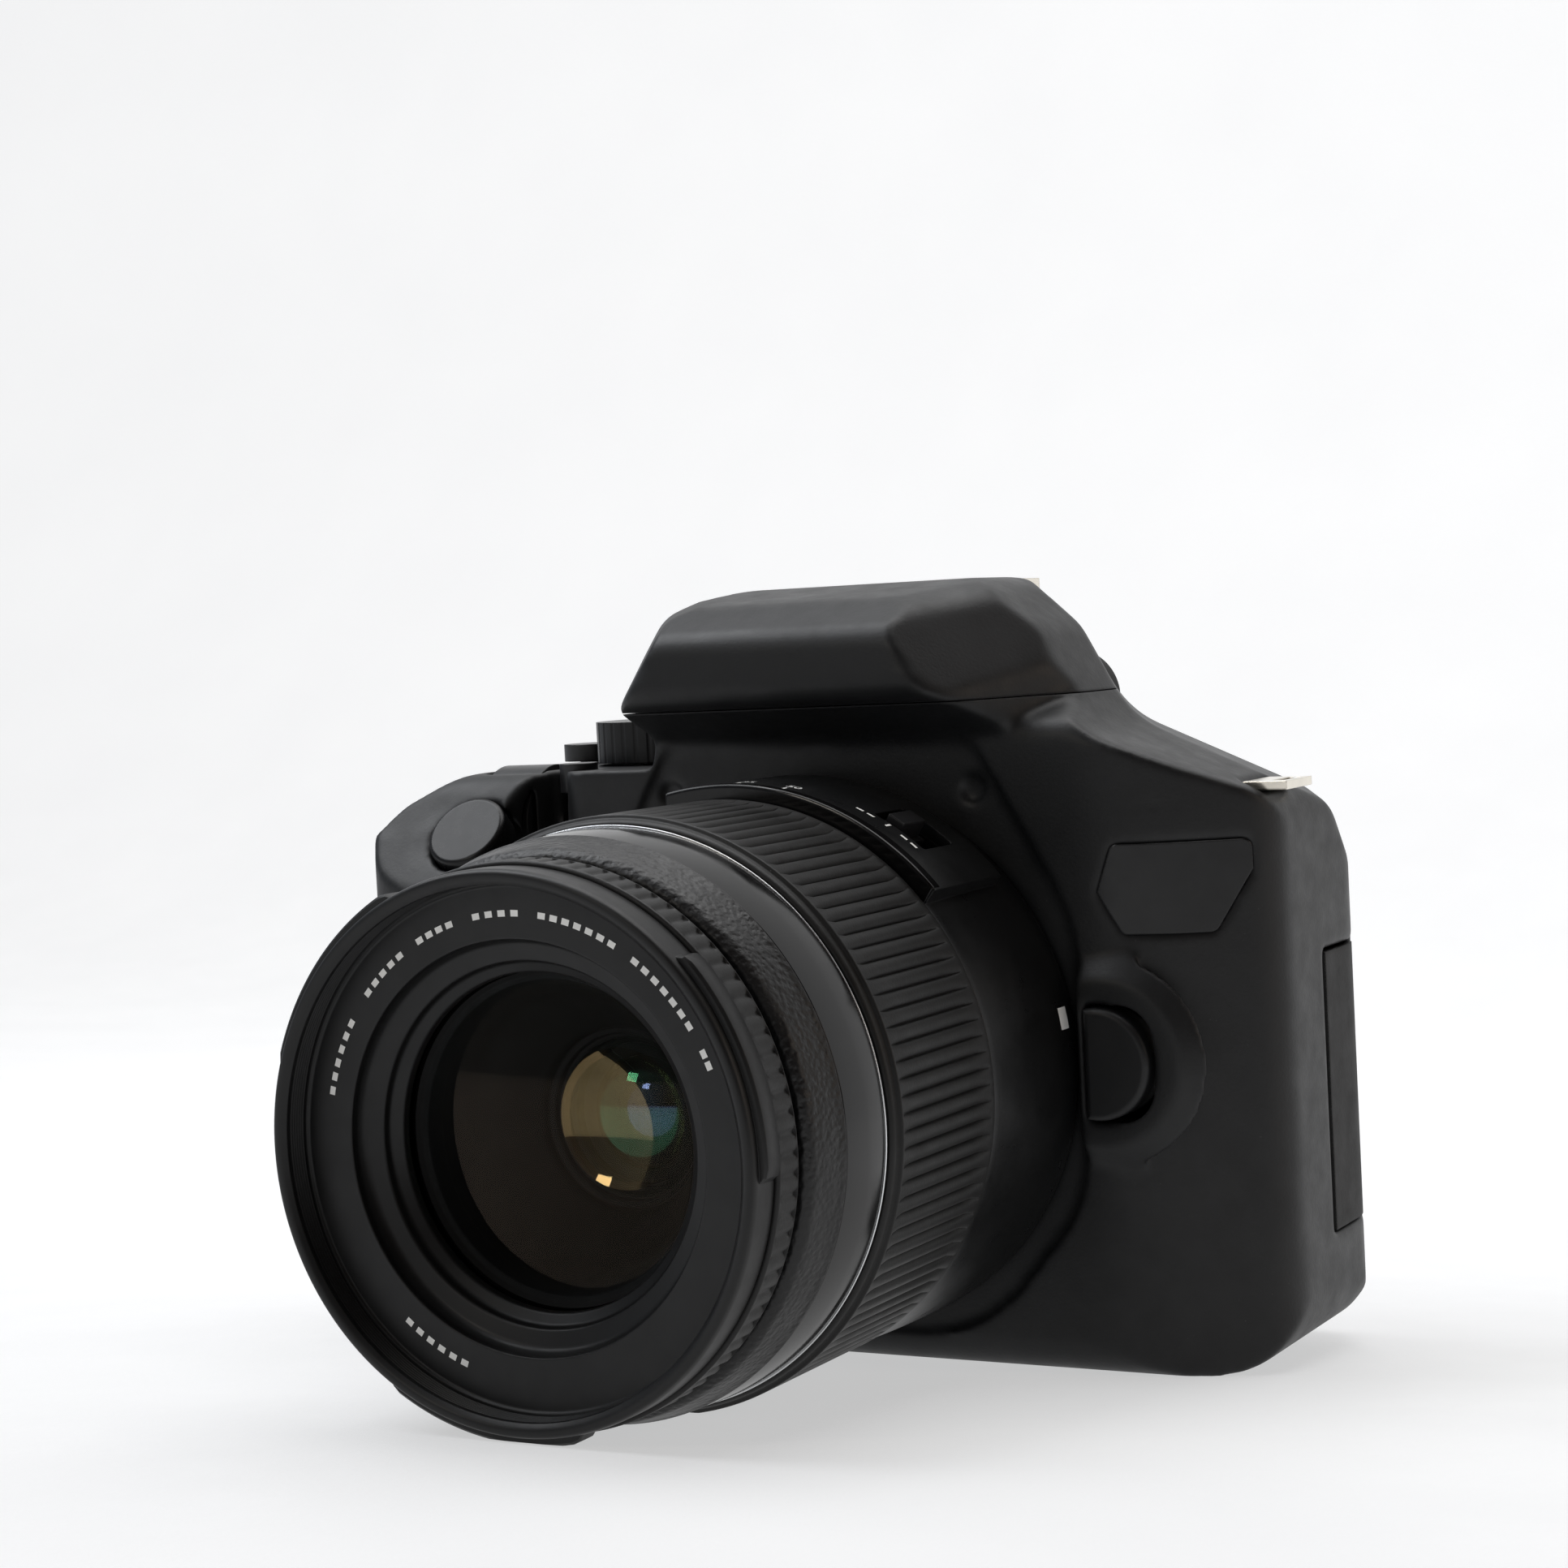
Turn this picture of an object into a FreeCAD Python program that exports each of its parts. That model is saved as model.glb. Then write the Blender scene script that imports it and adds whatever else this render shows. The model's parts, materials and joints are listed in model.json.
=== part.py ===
import FreeCAD, Part
import math
import os

import Sketcher

# A single-lens-reflex camera with an 18-55 mm class zoom lens, in millimetres.
# Every shape is drawn from the lens-mount flange plane: x = 0 is the optical axis, y grows to the
# back of the camera and z = 0 is the base. The Placement of each piece then moves it back by
# mount_y, which puts the row's origin in the mouth of the tripod socket.

V = FreeCAD.Vector
doc = FreeCAD.newDocument("slr_camera")

# ---------------------------------------------------------------- driving dimensions
DIMS = {
    # where the flange plane lies from the tripod socket, and the optical axis above the base
    "mount_y": -30.0, "axis_z": 39.3,
    # body envelope
    "side_x": 57.5, "grip_x": -71.5, "front_y": 3.0, "back_y": 54.0, "grip_y": -8.6,
    "deck_z": 76.5, "roof_z": 99.3, "rear_roof_z": 97.0, "wall": 2.0, "top_seam_z": 72.5,
    "grip_seam_z": 57.5, "split_y": 26.0, "base_plate": 2.0,
    # flash head
    "flash_seam_z": 84.2, "flash_wall": 1.6, "flash_end_y": 28.0, "flash_pivot_z": 97.0,
    "knuckle_rad": 1.9, "hinge_pin_rad": 0.8, "flash_gap": 0.3,
    # lens radii and stations
    "mount_rad": 33.0, "throat_rad": 27.0, "barrel_rad": 34.9, "zoom_rad": 34.6, "collar_rad": 33.3,
    "collar_front_rad": 31.4, "inner_rad": 29.4, "focus_rad": 31.3, "rim_rad": 30.8,
    "zoom_back_y": -21.0, "zoom_front_y": -46.8, "collar_y": -61.8, "rim_y": -72.0,
    "filter_rad": 29.0, "name_rad": 22.8, "name_y": -67.9, "glass_rad": 18.6, "glass_y": -63.0,
    "zoom_travel": 14.0, "focus_travel": 3.0,
    # mirror box, mirror, shutter and sensor
    "box_half": 21.0, "box_front_y": 6.4, "box_back_y": 38.5, "box_low_z": 17.0, "box_top_z": 60.0,
    "mirror_pivot_y": 36.2, "mirror_pivot_z": 53.0, "mirror_long": 30.0, "mirror_wide": 34.0,
    "gate_wide": 25.0, "gate_tall": 17.0,
    # controls
    "mode_x": -34.5, "mode_y": 24.0, "mode_rad": 9.3, "mode_tall": 5.6,
    "wheel_x": -49.0, "wheel_y": 12.6, "wheel_z": 69.2, "wheel_rad": 8.0, "wheel_wide": 8.0,
    "shutter_rad": 5.6, "button_gap": 0.3, "shoe_z": 96.2, "shoe_y": 36.0, "shoe_end_y": 52.5,
    # rear side
    "lcd_x": 12.5, "lcd_z": 35.0, "lcd_wide": 67.0, "lcd_tall": 54.0,
    "keys_x": -45.0, "keys_z": 33.0, "keys_rad": 13.0, "set_rad": 4.6,
    "cup_z": 78.0, "cup_wide": 30.0, "cup_tall": 22.0, "cup_end_y": 69.0,
    # battery, door and socket
    "battery_long": 49.3, "battery_deep": 36.2, "battery_thick": 13.1,
    "door_low_x": -65.5, "door_high_x": -45.3, "door_front_y": 1.5, "door_back_y": 43.0,
    "side_door_y": 43.0, "side_hinge_rad": 0.6,
    "socket_rad": 3.175, "socket_deep": 8.0,
}


class Size:
    """A number that also knows the spreadsheet expression which drives it."""

    def __init__(self, value, text):
        self.value = value
        self.text = text

    def __add__(self, other):
        return join(self, "+", other, self.value + num(other))

    def __radd__(self, other):
        return join(other, "+", self, num(other) + self.value)

    def __sub__(self, other):
        return join(self, "-", other, self.value - num(other))

    def __rsub__(self, other):
        return join(other, "-", self, num(other) - self.value)

    def __mul__(self, other):
        return join(self, "*", other, self.value * num(other))

    def __rmul__(self, other):
        return join(other, "*", self, num(other) * self.value)

    def __truediv__(self, other):
        return join(self, "/", other, self.value / num(other))

    def __neg__(self):
        return Size(-self.value, "(-%s)" % self.text)


def num(thing):
    return thing.value if isinstance(thing, Size) else float(thing)


def text(thing):
    return thing.text if isinstance(thing, Size) else "%.6g" % thing


def join(left, sign, right, value):
    return Size(value, "(%s %s %s)" % (text(left), sign, text(right)))


class Dims:
    """The spreadsheet's cells by name."""

    def __init__(self, table):
        self.sheet = doc.addObject("Spreadsheet::Sheet", "dims")
        for row, (name, value) in enumerate(table.items(), start=1):
            self.sheet.set("A%d" % row, name)
            self.sheet.set("B%d" % row, "%.6g" % value)
            self.sheet.setAlias("B%d" % row, name)
            setattr(self, name, Size(float(value), "dims." + name))


d = Dims(DIMS)
doc.recompute()

nodes = []
spots = {}                                               # where each object stands, by its name


def bind(thing, prop, size):
    """Ties a property to the sheet, or sets it when the size is a plain number."""
    if isinstance(size, Size):
        thing.setExpression(prop, size.text)
    elif "." in prop:
        thing.setExpression(prop, text(size))
    else:
        setattr(thing, prop, size)


def place(thing, x=0, y=0, z=0):
    spots[thing.Name] = (x, y, z)
    for letter, size in zip("xyz", (x, y, z)):
        bind(thing, "Placement.Base." + letter, size)


def placed(thing, x, y, z):
    place(thing, x, y, z)
    return thing


def turn(thing, axis, degrees):
    thing.Placement = FreeCAD.Placement(V(), FreeCAD.Rotation(V(*axis), degrees))


def node(label, thing):
    """Names the finished piece and moves it from the flange frame into the row's frame."""
    thing.Label = label
    x, y, z = spots.get(thing.Name, (0, 0, 0))
    place(thing, x, d.mount_y + y, z)
    nodes.append(thing)


# ---------------------------------------------------------------- primitives and booleans
def box(x0, x1, y0, y1, z0, z1):
    thing = doc.addObject("Part::Box", "block")
    bind(thing, "Length", as_size(x1) - x0)
    bind(thing, "Width", as_size(y1) - y0)
    bind(thing, "Height", as_size(z1) - z0)
    place(thing, x0, y0, z0)
    return thing


def as_size(thing):
    return thing if isinstance(thing, Size) else Size(float(thing), "%.6g" % thing)


AXES = {"x": ((0, 1, 0), 90), "y": ((1, 0, 0), -90), "z": ((0, 0, 1), 0)}


def rod(direction, x, y, z, radius, length):
    """A cylinder that starts at (x, y, z) and runs along +x, +y or +z."""
    thing = doc.addObject("Part::Cylinder", "rod")
    bind(thing, "Radius", radius)
    bind(thing, "Height", length)
    turn(thing, *AXES[direction])
    place(thing, x, y, z)
    return thing


def fuse(*things):
    thing = doc.addObject("Part::MultiFuse", "joined")
    thing.Shapes = list(things)
    return thing


def common(*things):
    thing = doc.addObject("Part::MultiCommon", "shared")
    thing.Shapes = list(things)
    return thing


def cut(base, *tools):
    thing = doc.addObject("Part::Cut", "cut")
    thing.Base = base
    thing.Tool = tools[0] if len(tools) == 1 else fuse(*tools)
    return thing


def round_edges(base, radius, wanted):
    """Rounds the edges of a finished solid that the test picks."""
    doc.recompute()
    picked = [i for i, edge in enumerate(base.Shape.Edges, start=1) if wanted(edge)]
    thing = doc.addObject("Part::Fillet", "rounded")
    thing.Base = base
    thing.Edges = [(i, radius, radius) for i in picked]
    return thing


# ---------------------------------------------------------------- sketches
PLANES = {"XY": ((0, 0, 1), 0), "XZ": ((1, 0, 0), 90), "YZ": ((1, 1, 1), 120)}


def corner_frame(corners, i):
    """The corner point, both tangent points and the arc's centre, for a corner with a radius."""
    point = V(num(corners[i][0]), num(corners[i][1]), 0)
    before, after = corners[i - 1], corners[(i + 1) % len(corners)]
    back = (V(num(before[0]), num(before[1]), 0) - point).normalize()
    ahead = (V(num(after[0]), num(after[1]), 0) - point).normalize()
    half = back.getAngle(ahead) / 2
    reach = num(corners[i][2]) / math.tan(half)
    centre = point + (back + ahead).normalize() * (num(corners[i][2]) / math.sin(half))
    left_turn = V(0, 0, 1).dot(ahead.cross(back)) > 0
    return point, point + back * reach, point + ahead * reach, centre, left_turn


def hold_point(sketch, geometry, x, y):
    for kind, size in (("DistanceX", x), ("DistanceY", y)):
        key = sketch.addConstraint(Sketcher.Constraint(kind, -1, 1, geometry, 1, num(size)))
        if isinstance(size, Size):
            sketch.setExpression("Constraints[%d]" % key, size.text)


def draw(sketch, corners):
    """A closed outline through (x, y) or (x, y, radius) corners, fully held by constraints."""
    count = len(corners)
    rounded = [corner_frame(corners, i) if len(corners[i]) > 2 else None for i in range(count)]
    sharp = [V(num(c[0]), num(c[1]), 0) for c in corners]
    starts = [rounded[i][2] if rounded[i] else sharp[i] for i in range(count)]
    ends = [rounded[i][1] if rounded[i] else sharp[i] for i in range(count)]
    lines = []
    for i in range(count):
        line = Part.LineSegment(starts[i], ends[(i + 1) % count])
        lines.append(sketch.addGeometry(line, False))
    for i, corner in enumerate(corners):
        before, after = lines[i - 1], lines[i]
        if not rounded[i]:
            sketch.addConstraint(Sketcher.Constraint("Coincident", before, 2, after, 1))
            hold_point(sketch, after, corner[0], corner[1])
            continue
        point, first, last, centre, left_turn = rounded[i]
        angles = [math.atan2(p.y - centre.y, p.x - centre.x) for p in (first, last)]
        if not left_turn:
            angles.reverse()
        circle = Part.Circle(centre, V(0, 0, 1), num(corner[2]))
        arc = sketch.addGeometry(Part.ArcOfCircle(circle, *angles), False)
        tip = sketch.addGeometry(Part.Point(point), True)
        enter, leave = (1, 2) if left_turn else (2, 1)
        sketch.addConstraint(Sketcher.Constraint("Tangent", before, 2, arc, enter))
        sketch.addConstraint(Sketcher.Constraint("Tangent", arc, leave, after, 1))
        sketch.addConstraint(Sketcher.Constraint("PointOnObject", tip, 1, before))
        sketch.addConstraint(Sketcher.Constraint("PointOnObject", tip, 1, after))
        key = sketch.addConstraint(Sketcher.Constraint("Radius", arc, num(corner[2])))
        if isinstance(corner[2], Size):
            sketch.setExpression("Constraints[%d]" % key, corner[2].text)
        hold_point(sketch, tip, corner[0], corner[1])


def outline(plane, corners):
    """A free sketch on a plane through the origin, for the extrusions."""
    sketch = doc.addObject("Sketcher::SketchObject", "outline")
    turn(sketch, *PLANES[plane])
    draw(sketch, corners)
    return sketch


def shrink(sketch, inset):
    thing = doc.addObject("Part::Offset2D", "inset")
    thing.Source = sketch
    thing.Join = 0
    bind(thing, "Value", -as_size(inset))
    return thing


WAYS = {"XY": V(0, 0, 1), "XZ": V(0, 1, 0), "YZ": V(1, 0, 0)}


def extrude(plane, sketch, low, high):
    """The outline as a prism from low to high along the axis that its plane leaves out."""
    thing = doc.addObject("Part::Extrusion", "prism")
    thing.Base = sketch
    thing.DirMode = "Custom"
    thing.Dir = WAYS[plane]
    thing.Solid = True
    bind(thing, "LengthFwd", as_size(high))
    bind(thing, "LengthRev", -as_size(low))
    return thing


def slab(plane, corners, low, high):
    return extrude(plane, outline(plane, corners), low, high)


# ---------------------------------------------------------------- PartDesign bodies
def body_plane(body, role):
    return next(f for f in body.Origin.OriginFeatures if f.Role == role)


def body_sketch(body, role, corners):
    sketch = body.newObject("Sketcher::SketchObject", "profile")
    sketch.AttachmentSupport = [(body_plane(body, role), "")]
    sketch.MapMode = "FlatFace"
    draw(sketch, corners)
    return sketch


def turned(corners):
    """A body of revolution about the y axis from (radius, y) corners."""
    body = doc.addObject("PartDesign::Body", "turned")
    sketch = body_sketch(body, "XY_Plane", corners)
    spin = body.newObject("PartDesign::Revolution", "spin")
    spin.Profile = sketch
    spin.ReferenceAxis = (sketch, ["V_Axis"])
    spin.Angle = 360
    doc.recompute()
    return body


def grooved(body, half_width, bottom, top, low_y, high_y, count):
    """Cuts lengthwise grooves round a turned body, from radius bottom out past radius top."""
    before = body.Shape.Volume
    corners = [(-as_size(half_width), bottom), (half_width, bottom), (half_width, top), (-as_size(half_width), top)]
    sketch = body.newObject("Sketcher::SketchObject", "groove_profile")
    sketch.AttachmentSupport = [(body_plane(body, "XZ_Plane"), "")]
    sketch.MapMode = "FlatFace"
    sketch.AttachmentOffset.Base = V(0, 0, 0)
    bind(sketch, ".AttachmentOffset.Base.z", -as_size(high_y))
    draw(sketch, corners)
    groove = body.newObject("PartDesign::Pocket", "groove")
    groove.Profile = sketch
    groove.Reversed = True
    bind(groove, "Length", as_size(high_y) - low_y)
    doc.recompute()
    pattern = body.newObject("PartDesign::PolarPattern", "grooves")
    pattern.Originals = [groove]
    pattern.Axis = (body_plane(body, "Y_Axis"), [""])
    pattern.Angle = 360
    pattern.Occurrences = count
    body.Tip = pattern
    doc.recompute()
    if body.Shape.Volume > before - 1:
        raise RuntimeError("the grooves cut nothing")
    return body


# ---------------------------------------------------------------- body envelope
SHOULDER = [(35, 80.5, 14), (28.5, 92.5, 8)]               # right-hand side of the hump, front view
PLAN_MAIN = outline("XY", [
    (43, d.front_y, 22), (d.side_x, 14, 9), (d.side_x, 41, 12), (51, d.back_y, 6), (-64, d.back_y, 10),
    (d.grip_x, 36, 12), (d.grip_x, 9.5), (-42, 9.5, 3), (-37, d.front_y, 3)])
SIDE_MAIN = outline("YZ", [
    (d.front_y, 0, 4.5), (d.back_y, 0, 3.5), (d.back_y, d.rear_roof_z, 2.5), (34, d.rear_roof_z, 6),
    (27, d.roof_z, 8), (22, d.roof_z, 8), (14, 84.5, 7), (d.front_y, 81, 3)])
FRONT = outline("XZ", [(d.side_x, 0, 8), (d.side_x, 70.5, 6)] + SHOULDER + [
    (21, d.roof_z, 10), (-18, d.roof_z, 8), (-24, 91.5, 6), (-24, d.deck_z, 1), (-56, d.deck_z, 8),
    (-63, 72.4, 4), (d.grip_x, 61.5, 2), (d.grip_x, 0, 7)])
PLAN_HUMP = outline("XY", [
    (-22, d.grip_y, 6), (22, d.grip_y, 6), (33, 14, 12), (33, 32), (-33, 32), (-33, 14, 12)])
SIDE_HUMP = outline("YZ", [
    (d.grip_y, 85.4, 2.5), (d.front_y + 0.6, 80, 4), (8, 78), (32, 78), (32, d.rear_roof_z), (30, 98.2),
    (27, d.roof_z, 4), (15, d.roof_z, 20), (0, 97.2, 12), (-7.6, 93.4, 4)])
PLAN_GRIP = outline("XY", [
    (-43, 36), (d.grip_x, 36), (d.grip_x, 7, 6), (-63, -6, 9), (-56, d.grip_y, 6), (-50, d.grip_y, 7),
    (-43, 10, 6)])
SIDE_GRIP = outline("YZ", [
    (d.grip_y, 0, 6), (36, 0), (36, d.deck_z), (5, d.deck_z, 8), (d.grip_y, 61.5, 5)])
TAPER = outline("XZ", [
    (-90, -1), (59, -1), (66, 6, 6), (66, 56, 8), (61.5, 68.7, 6)] + SHOULDER + [(10, 109.3), (-90, 109.3)])
HEAD = [(-80, 60), (38.7, 60), (14.5, 95, 5), (0, 98.2, 6), (-80, 98.2)]
HEAD_SIDES = (                                           # facets of the flash head, leaning in to the front
    (outline("XZ", HEAD), V(0.54, 1, 0.13)), (outline("XZ", [(-c[0],) + c[1:] for c in HEAD[::-1]]), V(-0.54, 1, 0.13)))
TAPER_SLOPE, TAPER_Y = -0.43, 24.5                       # how the right side draws in behind this depth
LEAN_REACH = 60
BLOCKS = (
    ((PLAN_MAIN, "XY", 0, d.roof_z), (SIDE_MAIN, "YZ", d.grip_x, d.side_x), (FRONT, "XZ", d.grip_y, d.back_y)),
    ((PLAN_HUMP, "XY", 70, d.roof_z), (SIDE_HUMP, "YZ", -40, 40), (FRONT, "XZ", d.grip_y, d.back_y)),
    ((PLAN_GRIP, "XY", 0, d.deck_z), (SIDE_GRIP, "YZ", d.grip_x, -40), (FRONT, "XZ", d.grip_y, d.back_y)),
)


def envelope(inset=None):
    """The outside of the whole body, or the same shape drawn in by an even wall."""
    solids = []
    for block in BLOCKS:
        prisms = [extrude(plane, shrink(sketch, inset) if inset else sketch, low, high)
                  for sketch, plane, low, high in block]
        if block[0][0] is PLAN_HUMP:
            prisms += [leaning(sketch, way, d.grip_y, inset) for sketch, way in HEAD_SIDES]
        solids.append(common(*prisms))
    return common(fuse(*solids), leaning(TAPER, V(TAPER_SLOPE, 1, 0), TAPER_Y, inset))


def leaning(sketch, way, start_y, inset):
    """The outline carried to the front and back along a slanting direction."""
    prism = extrude("XZ", shrink(sketch, inset) if inset else sketch, -LEAN_REACH, LEAN_REACH)
    prism.Dir = way
    place(prism, 0, start_y, 0)
    return prism


OUTSIDE = envelope()
SKIN_INSIDE = envelope(0.9)
HEAD_INSIDE = envelope(d.flash_wall)
INSIDE = envelope(d.wall)
SHELL = cut(OUTSIDE, INSIDE)
SKIN = cut(OUTSIDE, SKIN_INSIDE)


def flash_zone(gap):
    """The room above the flash seam and in front of the hinge, with a gap all round it."""
    return fuse(box(-40, 40, -12, d.flash_end_y + gap, d.flash_seam_z - gap, 101),
                rod("x", -18, d.flash_end_y, d.flash_pivot_z, d.knuckle_rad + gap, 36))


def top_zone():
    return fuse(box(-80, 70, -12, 60, d.top_seam_z, 110), box(-80, -40, -12, d.split_y, d.grip_seam_z, 110))


PANEL = outline("XZ", [
    (22, 79.6, 3), (-22, 79.6, 3), (-35.2, 56, 20), (-35.2, 22, 16), (-20, 4, 20), (20, 4, 20),
    (35.2, 22, 16), (35.2, 56, 20)])
PLATE = outline("XZ", [(40, 65.8, 1), (38, 60), (41, 54.8, 1), (51, 54.6, 1), (54.9, 62), (54.9, 65.7, 1)])
RELEASE_X, RELEASE_FLAT = 38.1, 36.6
SLOPE = 47.8                                             # forward lean of the grip's top, degrees
SWITCH_TURN = 33.5                                       # focus switch round the lens, from the top, degrees
DOOR_TO_SIDE = (29.3, d.side_door_y, 14.0, 50.0)          # terminal cover: y and z limits


def leaned(x, y, z, radius, start, end):
    """A cylinder square to the grip's sloping top, from start to end along its axis."""
    thing = doc.addObject("Part::Cylinder", "leaned")
    bind(thing, "Radius", radius)
    bind(thing, "Height", end - start)
    turn(thing, (1, 0, 0), SLOPE)
    lean = math.radians(SLOPE)
    place(thing, x, y - math.sin(lean) * start, z + math.cos(lean) * start)
    return thing


SHUTTER_AT = (-50.0, -2.0, 68.6)
FLASH_BUTTON_AT = (-39.5, 9.5)
SWITCH_AT = (-50.5, 31.0)
DIOPTER_AT = (-19.5, 46.0, 84.0)
SWEEP_RAD = 2.8                                          # room that the raised head needs round its hinge
SIDE_HINGE_X = 56.15
LUG_FACES = ((d.side_x, 1), (-63.6, -1))
DOOR_SHAPE = (d.door_low_x, d.door_high_x, d.door_front_y, d.door_back_y)
REAR_BUTTONS = {
    "live_view_button": (-27.5, 67.0, 3.3), "ae_lock_button": (-49.0, 68.6, 3.0),
    "af_point_button": (-59.5, 68.6, 3.0), "exposure_button": (-31.0, 58.0, 3.1),
    "quick_button": (-61.0, 50.5, 3.1), "menu_button": (-31.0, 14.0, 3.1),
    "playback_button": (-45.0, 11.5, 3.1), "erase_button": (-58.5, 14.0, 3.1),
}


# ---------------------------------------------------------------- covers
def make_top_cover():
    rim = cut(common(SHELL, top_zone()), flash_zone(d.flash_gap))
    tray = common(OUTSIDE, box(-40, 40, -12, 30, 82, d.flash_seam_z - d.flash_gap))
    sweep = rod("x", -40, d.flash_end_y, d.flash_pivot_z, SWEEP_RAD, 80)
    back = cut(common(OUTSIDE, box(-40, 40, d.flash_end_y + d.flash_gap, 32.5, 82, 101)), sweep)
    dome = box(-17, 17, 10.5, 29, 82, 93)
    ear = cut(fuse(rod("x", -5.5, d.flash_end_y, d.flash_pivot_z, d.knuckle_rad, 11),
                   box(-5.5, 5.5, d.flash_end_y, 31.5, 94.9, d.flash_pivot_z + 1.4)),
              rod("x", -7, d.flash_end_y, d.flash_pivot_z, d.hinge_pin_rad + 0.05, 14))
    whole = fuse(rim, tray, back, dome)
    cuts = [
        box(-15.8, 15.8, 11.7, 33, 80, 91.8),
        rod("z", d.mode_x, d.mode_y, 70, 3.06, 10),
        rod("x", d.wheel_x - d.wheel_wide / 2 - 0.4, d.wheel_y, d.wheel_z, d.wheel_rad + 0.4, d.wheel_wide + 0.8),
        leaned(*SHUTTER_AT, d.shutter_rad + 0.3, -8, 8),
        rod("z", *FLASH_BUTTON_AT, 70, 2.9, 10),
        rod("z", *SWITCH_AT, 70, 2.06, 10),
        extrude("XZ", PANEL, -12, 12), lug_slots(),
        box(-5.8, 5.8, d.flash_end_y - 3, d.flash_end_y + d.flash_gap, 95, 100),
        eyepiece_hole(), rod("y", *DIOPTER_AT, 2.3, 10), sweep_notch(),
        box(-10.8, 10.8, d.shoe_y - 0.3, 56, d.shoe_z, 101),
    ]
    node("top_cover", fuse(cut(whole, *cuts), ear))


def sweep_notch():
    """The part of the head's sweep that passes through the roof behind the hinge."""
    return common(rod("x", -40, d.flash_end_y, d.flash_pivot_z, SWEEP_RAD, 80),
                  box(-40, 40, d.flash_end_y, 32, 90, 101))


def make_front_cover():
    mound = doc.addObject("Part::Cone", "mound")
    mound.Radius1, mound.Radius2, mound.Height = 10.2, 13.5, 2.4
    turn(mound, (1, 0, 0), -90)
    place(mound, RELEASE_X + 0.4, d.front_y - 2, d.axis_z)
    shell = cut(common(SHELL, box(-80, 70, -12, d.split_y, -1, d.top_seam_z)), top_zone())
    button = rod("y", RELEASE_X, -2, d.axis_z, 7.2, 12)
    flat = box(20, RELEASE_FLAT - 0.3, -5, 12, 30, 50)
    cuts = [
        extrude("XZ", PANEL, -12, 12), cut(button, flat), common(SKIN, extrude("XZ", PLATE, -5, 20)),
        common(SKIN, grip_zone(0)), base_zone(0, -1), door_zone(0), lug_slots(), terminal_hole(0),
    ] + [rod("y", x, 0, 70.4, 0.45, 12) for x in (43, 45, 47)]
    node("front_cover", cut(fuse(shell, mound), *cuts))


def eyepiece_hole():
    return box(-13.9, 13.9, 49, 62, 68.2, 87.8)


def grip_zone(inset):
    return box(-80, -43.8 - inset, -12, 23 - inset, 9 + inset, 56 - inset)


def base_zone(inset, low_z):
    base = outline("XY", [(46, 13, 5), (46, 46, 5), (-43, 46, 3), (-43, 13, 3)])
    return extrude("XY", shrink(base, inset) if inset else base, low_z, d.base_plate)


def door_zone(inset):
    low_x, high_x, front, back = DOOR_SHAPE
    return box(low_x + inset, high_x - inset, front + inset, back - inset, -1, d.base_plate + 0.3)


def lug_slots():
    slots = []
    for face, way in LUG_FACES:
        middle = face - 1.8 * way
        slots.append(box(middle - 3.2, middle + 3.2, 15.1, 24.9, 71.0, d.top_seam_z + 0.2))
    return fuse(*slots)


def terminal_hole(inset):
    low_y, high_y, low_z, high_z = DOOR_TO_SIDE
    return box(53, 60, low_y + inset, high_y - inset, low_z + inset, high_z - inset)


def make_rear_cover():
    shell = cut(common(SHELL, box(-80, 70, d.split_y, 60, -1, d.top_seam_z)), top_zone())
    cuts = [
        base_zone(0, -1), door_zone(0), terminal_hole(0),
        common(SKIN, thumb_zone(0)),
        box(d.lcd_x - d.lcd_wide / 2, d.lcd_x + d.lcd_wide / 2, 51, 60,
            d.lcd_z - d.lcd_tall / 2, d.lcd_z + d.lcd_tall / 2),
        eyepiece_hole(),
        rod("y", d.keys_x, 50, d.keys_z, d.keys_rad + d.button_gap, 8),
    ]
    for x, z, radius in REAR_BUTTONS.values():
        cuts.append(rod("y", x, 50, z, radius + d.button_gap, 8))
    node("rear_cover", cut(shell, *cuts))


def thumb_zone(inset):
    return box(-80, -53.5 - inset, 34 + inset, 60, 56.5 + inset, 64.5 - inset)


def make_skins():
    """Pieces let into the outside of the body: they follow its surface."""
    node("grip_rubber", common(SKIN, grip_zone(0)))
    node("thumb_rubber", common(SKIN, thumb_zone(0)))
    node("name_plate", common(SKIN, extrude("XZ", PLATE, -5, 20)))
    hinge = rod("z", SIDE_HINGE_X, d.side_door_y - d.button_gap - d.side_hinge_rad, DOOR_TO_SIDE[2] + d.button_gap,
                d.side_hinge_rad, as_size(DOOR_TO_SIDE[3]) - DOOR_TO_SIDE[2] - 2 * d.button_gap)
    node("terminal_cover", fuse(common(SKIN, terminal_hole(d.button_gap)), hinge))


def make_base():
    node("bottom_cover", cut(base_zone(0.05, 0), rod("z", 0, -d.mount_y, -1, 8, 5)))
    socket = fuse(rod("z", 0, -d.mount_y, 0, 7.9, d.base_plate), rod("z", 0, -d.mount_y, 0, 5.5, 10))
    node("tripod_socket", cut(socket, rod("z", 0, -d.mount_y, -1, d.socket_rad, d.socket_deep + 1)))
    front, back, half = d.door_front_y + 0.3, d.door_back_y - 0.3, d.base_plate / 2
    hinge_x = d.door_high_x - 0.3 - half
    plate = box(d.door_low_x + 0.3, hinge_x, front, back, 0, d.base_plate)
    hinge = rod("y", hinge_x, front, half, half, back - front)
    node("battery_door", cut(fuse(plate, hinge), box(-61, -53, 4.6, 14.4, -1, 1.2)))
    node("battery_latch", box(-60.7, -53.3, 6, 11, 0.1, 1.0))


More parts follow.
